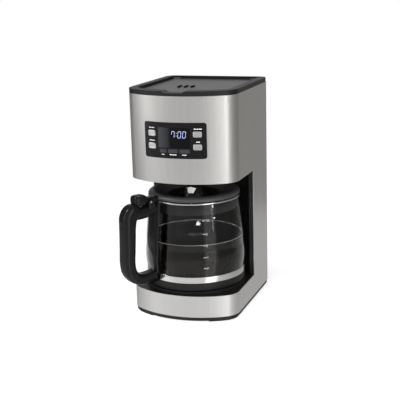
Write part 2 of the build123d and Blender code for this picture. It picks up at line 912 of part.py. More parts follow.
def glass_outline(grow=0.0):
    """Half section of the filled glass: base corner, band, belly, shoulder and tapering neck."""
    base = Polyline((0, glass_bottom - grow), (glass_foot_radius + grow, glass_bottom - grow),
                    (glass_foot_radius + 4 + grow, glass_base_corner - grow),
                    (glass_band_radius + grow, band_bottom))
    belly = ThreePointArc((glass_band_radius + grow, band_bottom),
                          (glass_radius + grow, glass_belly),
                          (glass_shoulder_radius + grow, glass_shoulder))
    neck = Polyline((glass_shoulder_radius + grow, glass_shoulder),
                    (glass_mouth_radius + grow, glass_mouth), (0, glass_mouth), (0, glass_bottom - grow))
    return make_face(Curve() + [base, belly, neck])


def glass_solid(grow=0.0):
    return revolved(glass_outline(grow))


def carafe_glass():
    """Blown glass jug, open at the top."""
    hollow = glass_solid(-glass_wall)
    return glass_solid() - hollow


def carafe_foot_ring():
    foot = ring(glass_foot_radius - 4, foot_ring_outer, carafe_bottom, band_bottom)
    return foot - glass_solid(fitted)


def carafe_band():
    return ring(glass_band_radius - 2, band_outer, band_bottom, band_top) - glass_solid(fitted)


def neck_ring():
    """Steel strap round the neck, which holds the top of the handle."""
    fit = ring(glass_mouth_radius - 3, glass_mouth_radius + 4, neck_ring_bottom,
               neck_ring_bottom + neck_ring_height)
    return (fit & glass_solid(neck_ring_wall)) - glass_solid(fitted)


def handle_outline():
    """Outer edge of the handle, with the pocket that the lid's thumb lever moves in."""
    points = [(glass_mouth_radius - 3, arm_top), (knob_pocket_end - 2, arm_top),
              (knob_pocket_end + 1, handle_top), (grip_top_radius, handle_top + 0.1),
              (grip_bottom_radius, handle_bottom), (glass_band_radius, handle_bottom)]
    face = make_face(Polyline(*points, close=True))
    face = fillet(face.vertices().sort_by(Axis.X)[-1], grip_bottom_corner)
    return fillet(face.vertices().sort_by(Axis.Y)[-1], grip_top_corner)


def handle_gap():
    """The space that fingers go through, between the grip and the strut."""
    inner = glass_radius + strut_gap + strut_thickness
    points = [(inner - 2, arm_top - top_arm_depth + 7),
              (grip_top_radius - grip_thickness, arm_top - top_arm_depth),
              (grip_bottom_radius - grip_thickness, handle_bottom + lower_arm_depth),
              (inner - 1, handle_bottom + lower_arm_depth + 8)]
    face = make_face(Polyline(*points, close=True))
    face = fillet(face.vertices().sort_by(Axis.X)[-2:], gap_corner)
    return fillet(face.vertices().sort_by(Axis.X)[:2], 3.0)


def carafe_handle():
    """D-shaped handle with a broad strut that lies against the glass."""
    loop = handle_slab(handle_outline(), handle_half)
    outer_edges = loop.edges().filter_by(GeomType.CIRCLE)
    loop = fillet(outer_edges, grip_edge)
    loop -= handle_slab(handle_gap(), 2 * handle_half)
    reach = 2 * glass_radius
    wedge = make_face(Polyline((0, 0), (reach, reach * sin(radians(strut_half_angle))),
                               (reach, -reach * sin(radians(strut_half_angle))), close=True))
    strut = glass_solid(strut_gap + strut_thickness) & in_handle_plane(slab(wedge, band_top, arm_top - 6))
    handle = loop + strut
    low, high = carafe_hinge_radius - lug_half_length, carafe_hinge_radius + lug_half_length
    lug_top = carafe_hinge_z + 4.5
    lugs = make_face(Polyline((low, arm_top - 2), (high, arm_top - 2), (high - 1, lug_top),
                              (low + 1, lug_top), close=True))
    lug_wall = (handle_half - lever_half - side_play) / 2
    for side in (-1, 1):
        handle += handle_slab(lugs, lug_wall, side * (handle_half - lug_wall))
    handle -= glass_solid(strut_gap)
    handle -= rod(0, axis_y, carafe_bottom - 5, band_top + strut_gap, band_outer + strut_gap)
    handle -= rod(0, axis_y, neck_ring_bottom - strut_gap, glass_mouth,
                  glass_mouth_radius + neck_ring_wall + 3 * strut_gap)
    handle -= rod(0, axis_y, glass_mouth - strut_gap, carafe_lid_crown, carafe_lid_radius + lid_side_gap)
    handle -= handle_bar(carafe_hinge_radius, carafe_hinge_z, carafe_pin_radius, 2 * handle_half)
    return handle - handle_screw()


def handle_bar(radius, z, thickness, half):
    """A cylinder across the handle's plane."""
    return in_handle_plane(Pos(radius, 0, z) * Rot(90, 0, 0) * Cylinder(thickness, 2 * half))


def handle_screw():
    """Screw up through the lower arm."""
    place = carafe_hinge_radius
    head = Pos(place, 0, handle_bottom + 1.5) * Cylinder(3.4, 3)
    shank = Pos(place, 0, handle_bottom + 8) * Cylinder(1.8, 10)
    return in_handle_plane(head + shank)


def carafe_lid_pin():
    return handle_bar(carafe_hinge_radius, carafe_hinge_z, carafe_pin_radius, handle_half)


def carafe_lid():
    """Dished cap with a skirt, and the thumb lever that swings it up."""
    rest = glass_mouth + lid_gap
    crown = carafe_lid_crown
    edge = carafe_lid_radius
    crest = edge - crown_inset
    bend = crown - shoulder_drop
    middle = (crest + dish_radius) / 2
    level = (crown + dish_level) / 2 - 2
    outside = Line((edge, rest), (edge, bend))
    shoulder = ThreePointArc((edge, bend), (edge - 1.9, crown - 2), (crest, crown))
    dish = ThreePointArc((crest, crown), (middle + 3, level), (dish_radius, dish_level))
    inside = Polyline((dish_radius, dish_level), (dish_radius, dish_level - carafe_lid_wall),
                      (middle + 5, level - carafe_lid_wall), (crest - 0.5, crown - carafe_lid_wall),
                      (edge - carafe_lid_wall, bend), (edge - carafe_lid_wall, rest), (edge, rest))
    cap = revolved(make_face(Curve() + [outside, shoulder, dish, inside]))
    cap += ring(skirt_radius - carafe_lid_wall, skirt_radius, skirt_bottom, crown - 2)
    lever = thumb_lever() - rod(0, axis_y, 0, height, edge - 2)
    cap += lever - rod(0, axis_y, 0, rest, glass_mouth_radius + neck_ring_wall + lid_side_gap)
    bore = carafe_pin_radius + turning_fit
    return cap - handle_bar(carafe_hinge_radius, carafe_hinge_z, bore, 2 * handle_half)


def thumb_lever():
    """Lever from the lid over the hinge to a round thumb rest, clear of the handle below it."""
    root = carafe_lid_radius - 3
    arm = make_face(Polyline((root, carafe_hinge_z - 4), (knob_centre_radius, carafe_hinge_z - 4),
                             (knob_centre_radius, carafe_hinge_z + 4), (root, carafe_hinge_z + 3),
                             close=True))
    knob = handle_bar(knob_centre_radius, arm_top + knob_radius - 1.5, knob_radius, handle_half - 1.5)
    lug_end = carafe_hinge_radius + lug_half_length + lid_side_gap
    lug_zone = make_face(Polyline((0, arm_top), (lug_end, arm_top), (lug_end, height), (0, height),
                                  close=True))
    clear_level = arm_top + knob_clearance
    reach = 2 * knob_centre_radius
    floor = make_face(Polyline((0, 0), (reach, 0), (reach, clear_level), (0, clear_level), close=True))
    lever = handle_slab(arm, lever_half) + (knob - handle_slab(lug_zone, handle_half))
    lever -= handle_slab(floor, 2 * handle_half)
    return lever + handle_bar(carafe_hinge_radius, carafe_hinge_z, knuckle_radius, lever_half)


def hub_cone(grow=0.0):
    """Hub as a filled cone, from the dish's floor to its top."""
    bottom = dish_level - carafe_lid_wall
    section = Polyline((0, bottom), (hub_foot_radius + grow, bottom), (hub_top_radius + grow, hub_top),
                       (0, hub_top), close=True)
    return revolved(make_face(section))


def lid_hub():
    """Funnel at the lid's middle, which lifts the drip stop and lets coffee in."""
    hub = hub_cone() - hub_cone(-hub_wall)
    hub += ring(hub_hole, hub_top_radius - 0.5, hub_top - hub_wall, hub_top)
    return hub - hub_shield()


def hub_shield():
    """Bright five-sided plate let into the front of the hub."""
    top = hub_top - 0.4
    points = [(-shield_half, top - 2), (0, top), (shield_half, top - 2),
              (shield_foot_half, top - shield_height), (-shield_foot_half, top - shield_height)]
    face = make_face(Polyline(*points, close=True))
    prism = Pos(0, axis_y, 0) * extrude(Plane.XZ * face, hub_foot_radius + 2)
    return prism & (hub_cone() - hub_cone(-shield_inset))


def pieces():
    """Every node's name with its solid, or its group of like solids."""
    made = {
        "rubber_feet": rubber_feet(), "bottom_cover": bottom_cover(), "cover_screws": cover_screws(),
        "lower_wrap": lower_wrap(), "base_shell": base_shell(), "tower_shell": tower_shell(),
        "rear_cover": rear_cover(), "cord_gland": cord_gland(), "upper_wrap": upper_wrap(),
        "brew_housing": brew_housing(), "top_rim": top_rim(), "lid_hinge_pins": lid_hinge_pins(),
        "tank_lid": tank_lid(), "water_channel": water_channel(), "shower_head": shower_head(),
        "filter_basket": filter_basket(), "drip_stop_valve": drip_stop_valve(),
        "drip_stop_seal": drip_stop_seal(), "drip_stop_spring": drip_stop_spring(),
        "water_tank": water_tank(), "riser_pipe": riser_pipe(), "check_valve": check_valve(),
        "cold_hose": cold_hose(), "hot_hose": hot_hose(), "filter_holder": filter_holder(),
        "heating_element": heating_element(), "warming_plate": warming_plate(),
        "plate_gasket": plate_gasket(), "heater_clamp": heater_clamp(), "clamp_nut": clamp_nut(),
        "thermostat": thermostat(), "thermal_fuse": thermal_fuse(), "power_board": power_board(),
        "control_panel": control_panel(), "display_lens": display_lens(),
        "display_module": display_module(), "control_board": control_board(),
        "carafe_glass": carafe_glass(), "carafe_foot_ring": carafe_foot_ring(),
        "carafe_band": carafe_band(), "neck_ring": neck_ring(), "carafe_handle": carafe_handle(),
        "handle_screw": handle_screw(), "carafe_lid_pin": carafe_lid_pin(),
        "carafe_lid": carafe_lid(), "lid_hub": lid_hub(), "hub_shield": hub_shield(),
    }
    for name, *cell in button_cells():
        made[name] = push_button(*cell)
    return made


def write_parts():
    os.makedirs("parts", exist_ok=True)
    for name, shape in pieces().items():
        solids = shape if isinstance(shape, list) else [shape]
        whole = Compound([solid for one in solids for solid in one.solids()])
        export_step(whole, f"parts/{name}.step")


write_parts()
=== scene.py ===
"""Drip coffee maker: the visible surfaces and finishes, built round a fixed CAD frame.

Laid out as an add-on and run as a script. Lengths are in metres and the front faces -Y.
"""

import json
import math

import bmesh
import bpy
import numpy as np
from bpy.props import FloatProperty, FloatVectorProperty, PointerProperty, StringProperty
from mathutils import Matrix, Vector

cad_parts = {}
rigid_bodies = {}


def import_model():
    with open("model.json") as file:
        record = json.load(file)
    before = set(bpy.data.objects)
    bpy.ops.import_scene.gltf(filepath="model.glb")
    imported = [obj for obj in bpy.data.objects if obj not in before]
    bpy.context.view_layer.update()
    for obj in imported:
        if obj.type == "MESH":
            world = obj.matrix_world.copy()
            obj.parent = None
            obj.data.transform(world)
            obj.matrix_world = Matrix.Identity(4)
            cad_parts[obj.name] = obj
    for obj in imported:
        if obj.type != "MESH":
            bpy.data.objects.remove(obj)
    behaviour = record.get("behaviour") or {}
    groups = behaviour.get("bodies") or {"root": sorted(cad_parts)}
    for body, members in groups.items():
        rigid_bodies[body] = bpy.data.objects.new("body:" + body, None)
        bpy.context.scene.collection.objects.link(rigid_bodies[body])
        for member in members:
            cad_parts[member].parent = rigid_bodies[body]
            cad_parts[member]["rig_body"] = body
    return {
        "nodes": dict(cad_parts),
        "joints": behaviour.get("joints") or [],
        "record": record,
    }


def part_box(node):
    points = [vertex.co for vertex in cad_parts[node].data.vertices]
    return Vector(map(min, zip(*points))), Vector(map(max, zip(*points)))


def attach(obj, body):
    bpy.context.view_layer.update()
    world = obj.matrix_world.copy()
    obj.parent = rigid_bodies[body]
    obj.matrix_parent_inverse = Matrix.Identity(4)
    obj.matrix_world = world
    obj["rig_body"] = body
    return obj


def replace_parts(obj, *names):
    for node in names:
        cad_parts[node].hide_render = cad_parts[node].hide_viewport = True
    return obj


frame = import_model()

bl_info = {
    "name": "Drip Coffee Maker",
    "version": (1, 0, 0),
    "blender": (4, 5, 0),
    "location": "View3D > Sidebar > Coffee",
    "description": "Builds a drip coffee maker's surfaces and finishes round its CAD frame",
    "category": "Object",
}

MM = 0.001


# Where things are, taken from the frame


def extent(node):
    """Lowest and highest corners of a CAD node, as numpy arrays."""
    low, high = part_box(node)
    return np.array(low), np.array(high)


GLASS_LOW, GLASS_HIGH = extent("carafe_glass")
CARAFE_Y = float(GLASS_LOW[1] + GLASS_HIGH[1]) / 2
BAND_LOW, BAND_HIGH = extent("carafe_band")
FOOT_LOW, FOOT_HIGH = extent("carafe_foot_ring")
HINGE = next(joint for joint in frame["joints"] if joint["name"] == "carafe_lid_hinge")
HANDLE_BEARING = math.atan2(HINGE["pos_m"][1] - CARAFE_Y, HINGE["pos_m"][0])
WRAP_LOW, WRAP_HIGH = extent("upper_wrap")
BOW_RADIUS = 130.0 * MM
BOW_CENTRE = float(WRAP_LOW[1]) + BOW_RADIUS


# Settings


class StageSettings(bpy.types.PropertyGroup):
    """Camera, floor and light."""

    azimuth: FloatProperty(
        name="Azimuth", description="Camera's bearing, to the right of the front", subtype="ANGLE",
        default=math.radians(19.98))
    elevation: FloatProperty(
        name="Elevation", description="Camera's height above level, as an angle", subtype="ANGLE",
        default=math.radians(14.03))
    roll: FloatProperty(
        name="Roll", description="Camera's turn about its own axis", subtype="ANGLE",
        default=math.radians(-1.47))
    distance: FloatProperty(
        name="Distance", description="From the target to the camera", subtype="DISTANCE", default=1.3796)
    target: FloatVectorProperty(
        name="Target", description="Point that the camera looks at", subtype="TRANSLATION",
        default=(0.00127, 0.00041, 0.15954))
    lens: FloatProperty(
        name="Lens", description="Focal length on a 36 mm sensor", default=80.3, min=10.0)
    floor_radius: FloatProperty(
        name="Floor radius", description="Size of the round pale floor", subtype="DISTANCE", default=0.62)


class SteelSettings(bpy.types.PropertyGroup):
    """Brushed sheet round the casing."""

    color: FloatVectorProperty(
        name="Colour", description="Base colour of the steel", subtype="COLOR", default=(0.80, 0.79, 0.77))
    roughness: FloatProperty(
        name="Roughness", description="Mean roughness of the brushed face", default=0.36, min=0.0, max=1.0)
    grain_pitch: FloatProperty(
        name="Grain pitch", description="Spacing of the brush lines", subtype="DISTANCE", default=0.0006)


class CarafeSettings(bpy.types.PropertyGroup):
    """Glass jug with its handle, lid and coffee."""

    wall: FloatProperty(
        name="Glass wall", description="Thickness of the glass", subtype="DISTANCE", default=0.0022)
    coffee_level: FloatProperty(
        name="Coffee level", description="Height of the coffee above the table", subtype="DISTANCE",
        default=0.1139)


class PanelSettings(bpy.types.PropertyGroup):
    """Display, buttons and printed marks."""

    time: StringProperty(name="Time", description="Digits on the clock display", default="7:00")
    glow: FloatVectorProperty(
        name="Glow", description="Colour of the lit digits", subtype="COLOR", default=(0.50, 0.60, 1.0))


class CoffeeMakerSettings(bpy.types.PropertyGroup):
    """All settings of the coffee maker."""

    stage: PointerProperty(type=StageSettings)
    steel: PointerProperty(type=SteelSettings)
    carafe: PointerProperty(type=CarafeSettings)
    panel: PointerProperty(type=PanelSettings)


def settings():
    return bpy.context.scene.coffee_maker


# Shader building


class Wire:
    """An output socket that Python's arithmetic works on."""

    def __init__(self, finish, socket):
        self.finish = finish
        self.socket = socket

    def math(self, operation, *others, clamp=False):
        node = self.finish.node("ShaderNodeMath", {"operation": operation, "use_clamp": clamp})
        for place, value in enumerate((self, *others)):
            self.finish.feed(node.inputs[place], value)
        return Wire(self.finish, node.outputs[0])

    def __add__(self, other):
        return self.math("ADD", other)

    __radd__ = __add__

    def __mul__(self, other):
        return self.math("MULTIPLY", other)

    __rmul__ = __mul__

    def __sub__(self, other):
        return self.math("SUBTRACT", other)

    def __rsub__(self, other):
        return (self * -1.0) + other

    def __truediv__(self, other):
        return self.math("DIVIDE", other)


class Finish:
    """A material or world under construction."""

    def __init__(self, owner):
        owner.use_nodes = True
        self.tree = owner.node_tree
        self.tree.nodes.clear()

    def node(self, kind, options=None, **inputs):
        """Adds a node, sets its options first, then feeds the inputs named."""
        node = self.tree.nodes.new(kind)
        for key, value in (options or {}).items():
            if key == "stops":
                set_stops(node.color_ramp, value)
            else:
                setattr(node, key, value)
        for key, value in inputs.items():
            self.feed(node.inputs[key.replace("_", " ")], value)
        return node

    def feed(self, socket, value):
        if isinstance(value, Wire):
            self.tree.links.new(value.socket, socket)
        elif isinstance(value, bpy.types.NodeSocket):
            self.tree.links.new(value, socket)
        else:
            socket.default_value = value

    def wire(self, node, output=0):
        return Wire(self, node.outputs[output])

    def place(self, scale=(1.0, 1.0, 1.0)):
        """Object coordinates, stretched by a scale along each axis."""
        source = self.node("ShaderNodeTexCoord").outputs["Object"]
        return self.node("ShaderNodeMapping", Vector=source, Scale=scale).outputs[0]

    def noise(self, scale, detail=2.0, roughness=0.5, stretch=(1.0, 1.0, 1.0)):
        """Smooth noise from 0 to 1 in object space, with scale in cells per metre."""
        node = self.node("ShaderNodeTexNoise", Vector=self.place(stretch), Scale=scale,
                         Detail=detail, Roughness=roughness)
        return self.wire(node)

    def axes(self, vector=None):
        """The three coordinates of a vector, or of the place on the object."""
        node = self.node("ShaderNodeSeparateXYZ", Vector=self.place() if vector is None else vector)
        return [self.wire(node, place) for place in range(3)]

    def tint(self, mask, low, high):
        """Colour between two others, by a mask."""
        node = self.node("ShaderNodeMix", {"data_type": "RGBA"})
        for place, value in ((0, mask), (6, low), (7, high)):
            self.feed(node.inputs[place], (*value, 1.0) if isinstance(value, tuple) else value)
        return self.wire(node, 2)

    def ramp(self, factor, stops):
        """Colour that follows stops of position and colour."""
        return self.wire(self.node("ShaderNodeValToRGB", {"stops": stops}, Fac=factor))

    def blend(self, share, first, second):
        """Output of a mix of two shader nodes."""
        node = self.node("ShaderNodeMixShader")
        for socket, value in zip(node.inputs, (share, first.outputs[0], second.outputs[0])):
            self.feed(socket, value)
        return node.outputs[0]

    def seen_by_camera(self):
        """1 for what the camera sees directly, 0 in reflections."""
        return Wire(self, self.node("ShaderNodeLightPath").outputs["Is Camera Ray"])

    def bump(self, height, distance, strength=1.0):
        node = self.node("ShaderNodeBump", Height=height, Distance=distance, Strength=strength)
        return Wire(self, node.outputs[0])

    def surface(self, **inputs):
        """Ends the tree in a Principled surface."""
        shader = self.node("ShaderNodeBsdfPrincipled", **inputs)
        self.node("ShaderNodeOutputMaterial", Surface=shader.outputs[0])


def set_stops(ramp, stops):
    """Gives a colour ramp its stops: position and grey level or colour."""
    while len(ramp.elements) > 1:
        ramp.elements.remove(ramp.elements[-1])
    for place, (position, value) in enumerate(stops):
        element = ramp.elements[0] if place == 0 else ramp.elements.new(position)
        element.position = position
        element.color = (*value, 1.0) if isinstance(value, tuple) else (value, value, value, 1.0)


def material(name):
    made = bpy.data.materials.new(name)
    return made, Finish(made)


def scaled(color, share):
    """A colour made darker or brighter by a share, kept within 1."""
    return tuple(min(c * share, 1.0) for c in color)


# Finishes


def brushed_steel():
    """Sheet steel with long vertical brush lines of two widths and faint smears."""
    made, finish = material("brushed_steel")
    steel = settings().steel
    pitch = 1.0 / steel.grain_pitch
    fine = finish.noise(pitch, 3.0, 0.6, (1.0, 1.0, 0.012))
    broad = finish.noise(pitch * 0.12, 2.0, 0.5, (1.0, 1.0, 0.02))
    smear = finish.noise(9.0, 2.0, 0.5, (1.0, 1.0, 0.35))
    lines = fine * 0.7 + broad * 0.3
    finish.surface(
        Base_Color=finish.tint(lines, scaled(steel.color, 0.84), scaled(steel.color, 1.10)),
        Metallic=1.0,
        Roughness=lines * 0.10 + smear * 0.06 + (steel.roughness - 0.08),
        Anisotropic=0.55,
        Normal=finish.bump(lines, 0.00002, 0.2))
    return made


def polished_steel():
    made, finish = material("polished_steel")
    streak = finish.noise(700.0, 2.0, 0.5, (0.08, 0.08, 1.0))
    finish.surface(Base_Color=(0.80, 0.79, 0.77, 1.0), Metallic=1.0, Roughness=streak * 0.10 + 0.12,
                   Normal=finish.bump(streak, 0.00002, 0.3))
    return made


def moulded(name, color, roughness, grain=2600.0, depth=0.00003, coat=0.0, wear=0.12, shine=0.35):
    """Moulded plastic: fine grain, slight mottling of the gloss and of the colour."""
    made, finish = material(name)
    speckle = finish.noise(grain, 2.0, 0.6)
    cloud = finish.noise(38.0, 3.0, 0.5)
    finish.surface(
        Base_Color=finish.tint(cloud, scaled(color, 1.0 - wear), scaled(color, 1.0 + wear)),
        Roughness=cloud * (roughness * 0.35) + speckle * (roughness * 0.15) + roughness * 0.75,
        Coat_Weight=coat, Coat_Roughness=0.06, Specular_IOR_Level=shine,
        Normal=finish.bump(speckle, depth, 0.4))
    return made


def plain_metal(name, color, roughness, grain=900.0):
    made, finish = material(name)
    cast = finish.noise(grain, 3.0, 0.6)
    finish.surface(Base_Color=finish.tint(cast, scaled(color, 0.85), color), Metallic=1.0,
                   Roughness=cast * 0.15 + roughness, Normal=finish.bump(cast, 0.00003, 0.4))
    return made


def clear_glass():
    """Blown borosilicate glass, with a very slight waviness."""
    made, finish = material("carafe_glass_clear")
    wave = finish.noise(24.0, 1.0, 0.4)
    finish.surface(Base_Color=(0.985, 0.992, 0.988, 1.0), Roughness=0.0, IOR=1.29,
                   Transmission_Weight=1.0, Normal=finish.bump(wave, 0.00006, 0.08))
    return made


def black_coffee():
    made, finish = material("black_coffee")
    depth = finish.noise(14.0, 1.0, 0.4)
    finish.surface(Base_Color=finish.tint(depth, (0.003, 0.002, 0.0015), (0.006, 0.004, 0.0025)),
                   Roughness=0.05, IOR=1.33, Specular_IOR_Level=0.15)
    return made


def smoked_plastic():
    made, finish = material("tank_plastic")
    cloud = finish.noise(30.0, 2.0, 0.5)
    finish.surface(Base_Color=finish.tint(cloud, (0.50, 0.52, 0.53), (0.60, 0.62, 0.63)),
                   Roughness=cloud * 0.08 + 0.14, IOR=1.5, Transmission_Weight=0.5)
    return made


def dark_lens():
    """Display window: black, with a painted reflection that makes it lighter towards its left end."""
    made, finish = material("display_lens_dark")
    low, high = extent("display_lens")
    across = (finish.axes()[0] - float(low[0])) / float(high[0] - low[0])
    finish.surface(Base_Color=finish.ramp(across, LENS_REFLECTION_RAMP), Roughness=0.10, Specular_IOR_Level=0.2)
    return made


# Painted reflection: how the display window darkens from its left end to its right
LENS_REFLECTION_RAMP = ((0.0, (0.050, 0.052, 0.056)), (0.30, (0.022, 0.023, 0.027)), (0.40, (0.003, 0.003, 0.004)),
               (1.0, (0.002, 0.002, 0.003)))


def lit_digits():
    """Glowing digits, with a faint unevenness in their light."""
    made, finish = material("clock_digits_lit")
    color = tuple(settings().panel.glow)
    cells = finish.noise(900.0, 1.0, 0.5)
    finish.surface(Base_Color=(*scaled(color, 0.1), 1.0), Roughness=0.4,
                   Emission_Color=finish.tint(cells, scaled(color, 0.88), color), Emission_Strength=1.3)
    return made


def jug_lid():
    """Dark grey satin plastic above the jug's lip; below it the skirt inside the glass is painted near
    black as shade.
    """
    made, finish = material("jug_lid_plastic")
    # Painted shade: the skirt below the jug's lip is darkened in its colour, for the shadow it lies in
    # inside the glass
    above = finish.axes()[2].math("GREATER_THAN", float(GLASS_HIGH[2]))
    cloud = finish.noise(38.0, 3.0, 0.5)
    grey = above * 0.048 + cloud * 0.006 + 0.004
    finish.surface(Base_Color=finish.tint(grey, (0.0, 0.0, 0.0), (1.0, 1.0, 1.0)),
                   Roughness=cloud * 0.10 + 0.32, Normal=finish.bump(cloud, 0.00002, 0.3))
    return made


def circuit_board():
    """Green solder mask with a net of copper tracks under it."""
    made, finish = material("circuit_board_green")
    cells = finish.node("ShaderNodeTexVoronoi", {"feature": "DISTANCE_TO_EDGE"}, Vector=finish.place(),
                        Scale=260.0)
    tracks = finish.wire(cells).math("LESS_THAN", 0.06)
    finish.surface(Base_Color=finish.tint(tracks, (0.02, 0.12, 0.05), (0.05, 0.22, 0.09)),
                   Roughness=tracks * -0.1 + 0.45, Normal=finish.bump(tracks, 0.00005, 0.5))
    return made


FINISHES = {
    "steel": brushed_steel,
    "black_gloss": lambda: moulded("black_gloss_plastic", (0.006, 0.006, 0.007), 0.20, 900.0, 0.00001,
                                   coat=0.05, shine=0.24),
    "black_satin": lambda: moulded("black_satin_plastic", (0.010, 0.010, 0.0105), 0.42),
    "lid_grey": lambda: moulded("lid_grey_plastic", (0.085, 0.085, 0.083), 0.34, 1500.0, 0.00002,
                                shine=0.5),
    "glass": clear_glass,
    "band_steel": polished_steel,
    "rubber": lambda: moulded("black_rubber", (0.02, 0.02, 0.02), 0.75, 1800.0, 0.00005),
    "silicone": lambda: moulded("milky_silicone", (0.62, 0.61, 0.57), 0.5),
    "tank_plastic": smoked_plastic,
    "plate_coating": lambda: moulded("plate_coating", (0.014, 0.014, 0.015), 0.38, 3800.0, 0.00004),
    "heater_metal": lambda: plain_metal("heater_aluminium", (0.62, 0.62, 0.61), 0.38),
    "zinc": lambda: plain_metal("zinc_plate", (0.66, 0.66, 0.64), 0.25, 1800.0),
    "circuit": circuit_board,
    "ceramic_white": lambda: moulded("white_ceramic", (0.72, 0.72, 0.69), 0.3),
    "display": dark_lens,
    "button_silver": lambda: plain_metal("button_silver", (0.80, 0.80, 0.80), 0.32, 2600.0),
    # Painted highlight: the pale shield on the hub stands for the bright patch that light makes on its
    # slanted facet
    "shield_silver": lambda: moulded("shield_silver", (0.85, 0.85, 0.85), 0.3, wear=0.05),
    "coffee": black_coffee,
    "lit_digits": lit_digits,
    "key_grey": lambda: moulded("key_grey_plastic", (0.040, 0.040, 0.042), 0.4),
    # Painted shade: near-black plates in the lid's vents that stand for the shadow inside them
    "vent_shade": lambda: moulded("vent_shadow_black", (0.002, 0.002, 0.002), 0.9, shine=0.0),
    "jug_lid": jug_lid,
    # Painted highlight: pale colour for the bright line at the coffee's edge
    "edge_glint": lambda: moulded("coffee_edge", (0.72, 0.69, 0.64), 0.3),
    # Print on the panel and the glass, and the painted glints on the glass
    "print_and_glint": lambda: moulded("print_and_glint_white", (0.90, 0.90, 0.90), 0.5, wear=0.06),
}
# Nodes with a finish of their own within a slot
SPECIAL = {"clean_key": "key_grey", "strength_key": "key_grey", "volume_key": "key_grey"}
READY = {}


def finish_for(slot):
    """The material of a slot, made once."""
    if slot not in READY:
        READY[slot] = FINISHES[slot]()
    return READY[slot]


# Mesh building


def mesh_object(name, points, faces, slot, body, smooth=True, finish=None):
    """A mesh with its place in its points, one material, and a body to ride on."""
    mesh = bpy.data.meshes.new(name)
    mesh.from_pydata(points.reshape(-1, 3).tolist(), [], faces)
    mesh.update()
    mesh.polygons.foreach_set("use_smooth", [smooth] * len(mesh.polygons))
    piece = bpy.data.objects.new(name, mesh)
    bpy.context.scene.collection.objects.link(piece)
    piece.data.materials.append(finish or finish_for(slot))
    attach(piece, body)
    return piece


def stacked(rings, capped=True):
    """Faces that join closed rings of points one after another, with a cap at each end.

    Point k of ring j meets point k of ring j + 1, so the quad is (j,k), (j,k+1), (j+1,k+1), (j+1,k).
    """
    count, around = rings.shape[:2]
    j, k = np.meshgrid(np.arange(count - 1), np.arange(around), indexing="ij")
    after = (k + 1) % around
    quads = np.stack([j * around + k, j * around + after, (j + 1) * around + after,
                      (j + 1) * around + k], axis=-1)
    faces = quads.reshape(-1, 4).tolist()
    if capped:
        faces.append(list(range(around))[::-1])
        faces.append(list(range((count - 1) * around, count * around)))
    return faces


def looped(rings):
    """Faces of a closed tube: rings wrap round, and the last ring meets the first."""
    joined = np.concatenate([rings, rings[:1]])
    count, around = rings.shape[:2]
    faces = np.array(stacked(joined, capped=False))
    return np.where(faces >= count * around, faces - count * around, faces).tolist()


def turned(name, profile, slot, body, steps=160, finish=None):
    """A closed profile of radius and height turned about the carafe's axis.

    Point (r, z) at angle a goes to (r cos a, axis_y + r sin a, z).
    """
    angle = np.linspace(0, 2 * math.pi, steps, endpoint=False)[:, None]
    r, z = profile[:, 0][None, :], profile[:, 1][None, :]
    rings = np.stack([r * np.cos(angle), CARAFE_Y + r * np.sin(angle), z + 0 * angle], axis=-1)
    return flipped(mesh_object(name, rings, looped(rings), slot, body, finish=finish))


def reworked(piece, change):
    """Opens a piece's mesh, runs a change on it and puts it back."""
    work = bmesh.new()
    work.from_mesh(piece.data)
    change(work)
    work.to_mesh(piece.data)
    work.free()
    return piece


def flipped(piece):
    """Turns the faces of a closed piece outwards."""
    def change(work):
        bmesh.ops.remove_doubles(work, verts=work.verts, dist=1e-6)
        bmesh.ops.recalc_face_normals(work, faces=work.faces)

    return reworked(piece, change)


def boxes(name, skins, slot, body, finish):
    """Closed boxes, each from four corners behind and the same four in front."""
    faces = [[8 * place + k for k in face] for place in range(len(skins)) for face in BOX_FACES]
    return flipped(mesh_object(name, np.array(skins), faces, slot, body, smooth=False, finish=finish))


BOX_FACES = ([0, 1, 2, 3], [4, 7, 6, 5], [0, 4, 5, 1], [1, 5, 6, 2], [2, 6, 7, 3], [3, 7, 4, 0])


def plate(name, centre, outline, levels, slot, body, **options):
    """A flat plate: an outline about a centre in x and y, at two levels."""
    rings = np.stack([np.stack([centre[0] + outline[:, 0], centre[1] + outline[:, 1],
                                level + 0 * outline[:, 0]], -1) for level in levels])
    return flipped(mesh_object(name, rings, stacked(rings), slot, body, **options))


def round_edges(piece, width, angle):
    """A live bevel on edges sharper than an angle in degrees."""
    bevel = piece.modifiers.new("Rounded edges", "BEVEL")
    bevel.width = width
    bevel.segments = 2
    bevel.limit_method = "ANGLE"
    bevel.angle_limit = math.radians(angle)
    return bevel


def rounded_profile(corners, radii, steps=6):
    """A closed polygon whose corners are replaced by arcs, each drawn with a few points.

    At a corner P between unit directions u and v, the arc of radius r starts r / tan(half angle)
    back along u; its centre is on the bisector and its points turn evenly from one to the other.
    """
    corners = np.array(corners, float)
    radii = np.broadcast_to(np.array(radii, float), (len(corners),))
    u = np.roll(corners, 1, 0) - corners
    v = np.roll(corners, -1, 0) - corners
    u = u / np.linalg.norm(u, axis=1)[:, None]
    v = v / np.linalg.norm(v, axis=1)[:, None]
    half = np.arccos(np.clip((u * v).sum(1), -1, 1)) / 2
    bisector = (u + v) / np.linalg.norm(u + v, axis=1)[:, None]
    centre = corners + bisector * (radii / np.sin(half))[:, None]
    start = corners + u * (radii / np.tan(half))[:, None] - centre
    end = corners + v * (radii / np.tan(half))[:, None] - centre
    part = np.linspace(0, 1, steps)[None, :, None]
    sweep = (math.pi - 2 * half)[:, None, None]
    arcs = start[:, None] * np.sin((1 - part) * sweep) + end[:, None] * np.sin(part * sweep)
    return (centre[:, None] + arcs / np.sin(sweep)).reshape(-1, 2)


def rounded_rectangle(width, height, corner, steps=6):
    """Outline of a rounded rectangle about the origin, anticlockwise."""
    x, y = width / 2, height / 2
    return rounded_profile([(-x, -y), (x, -y), (x, y), (-x, y)], corner, steps)


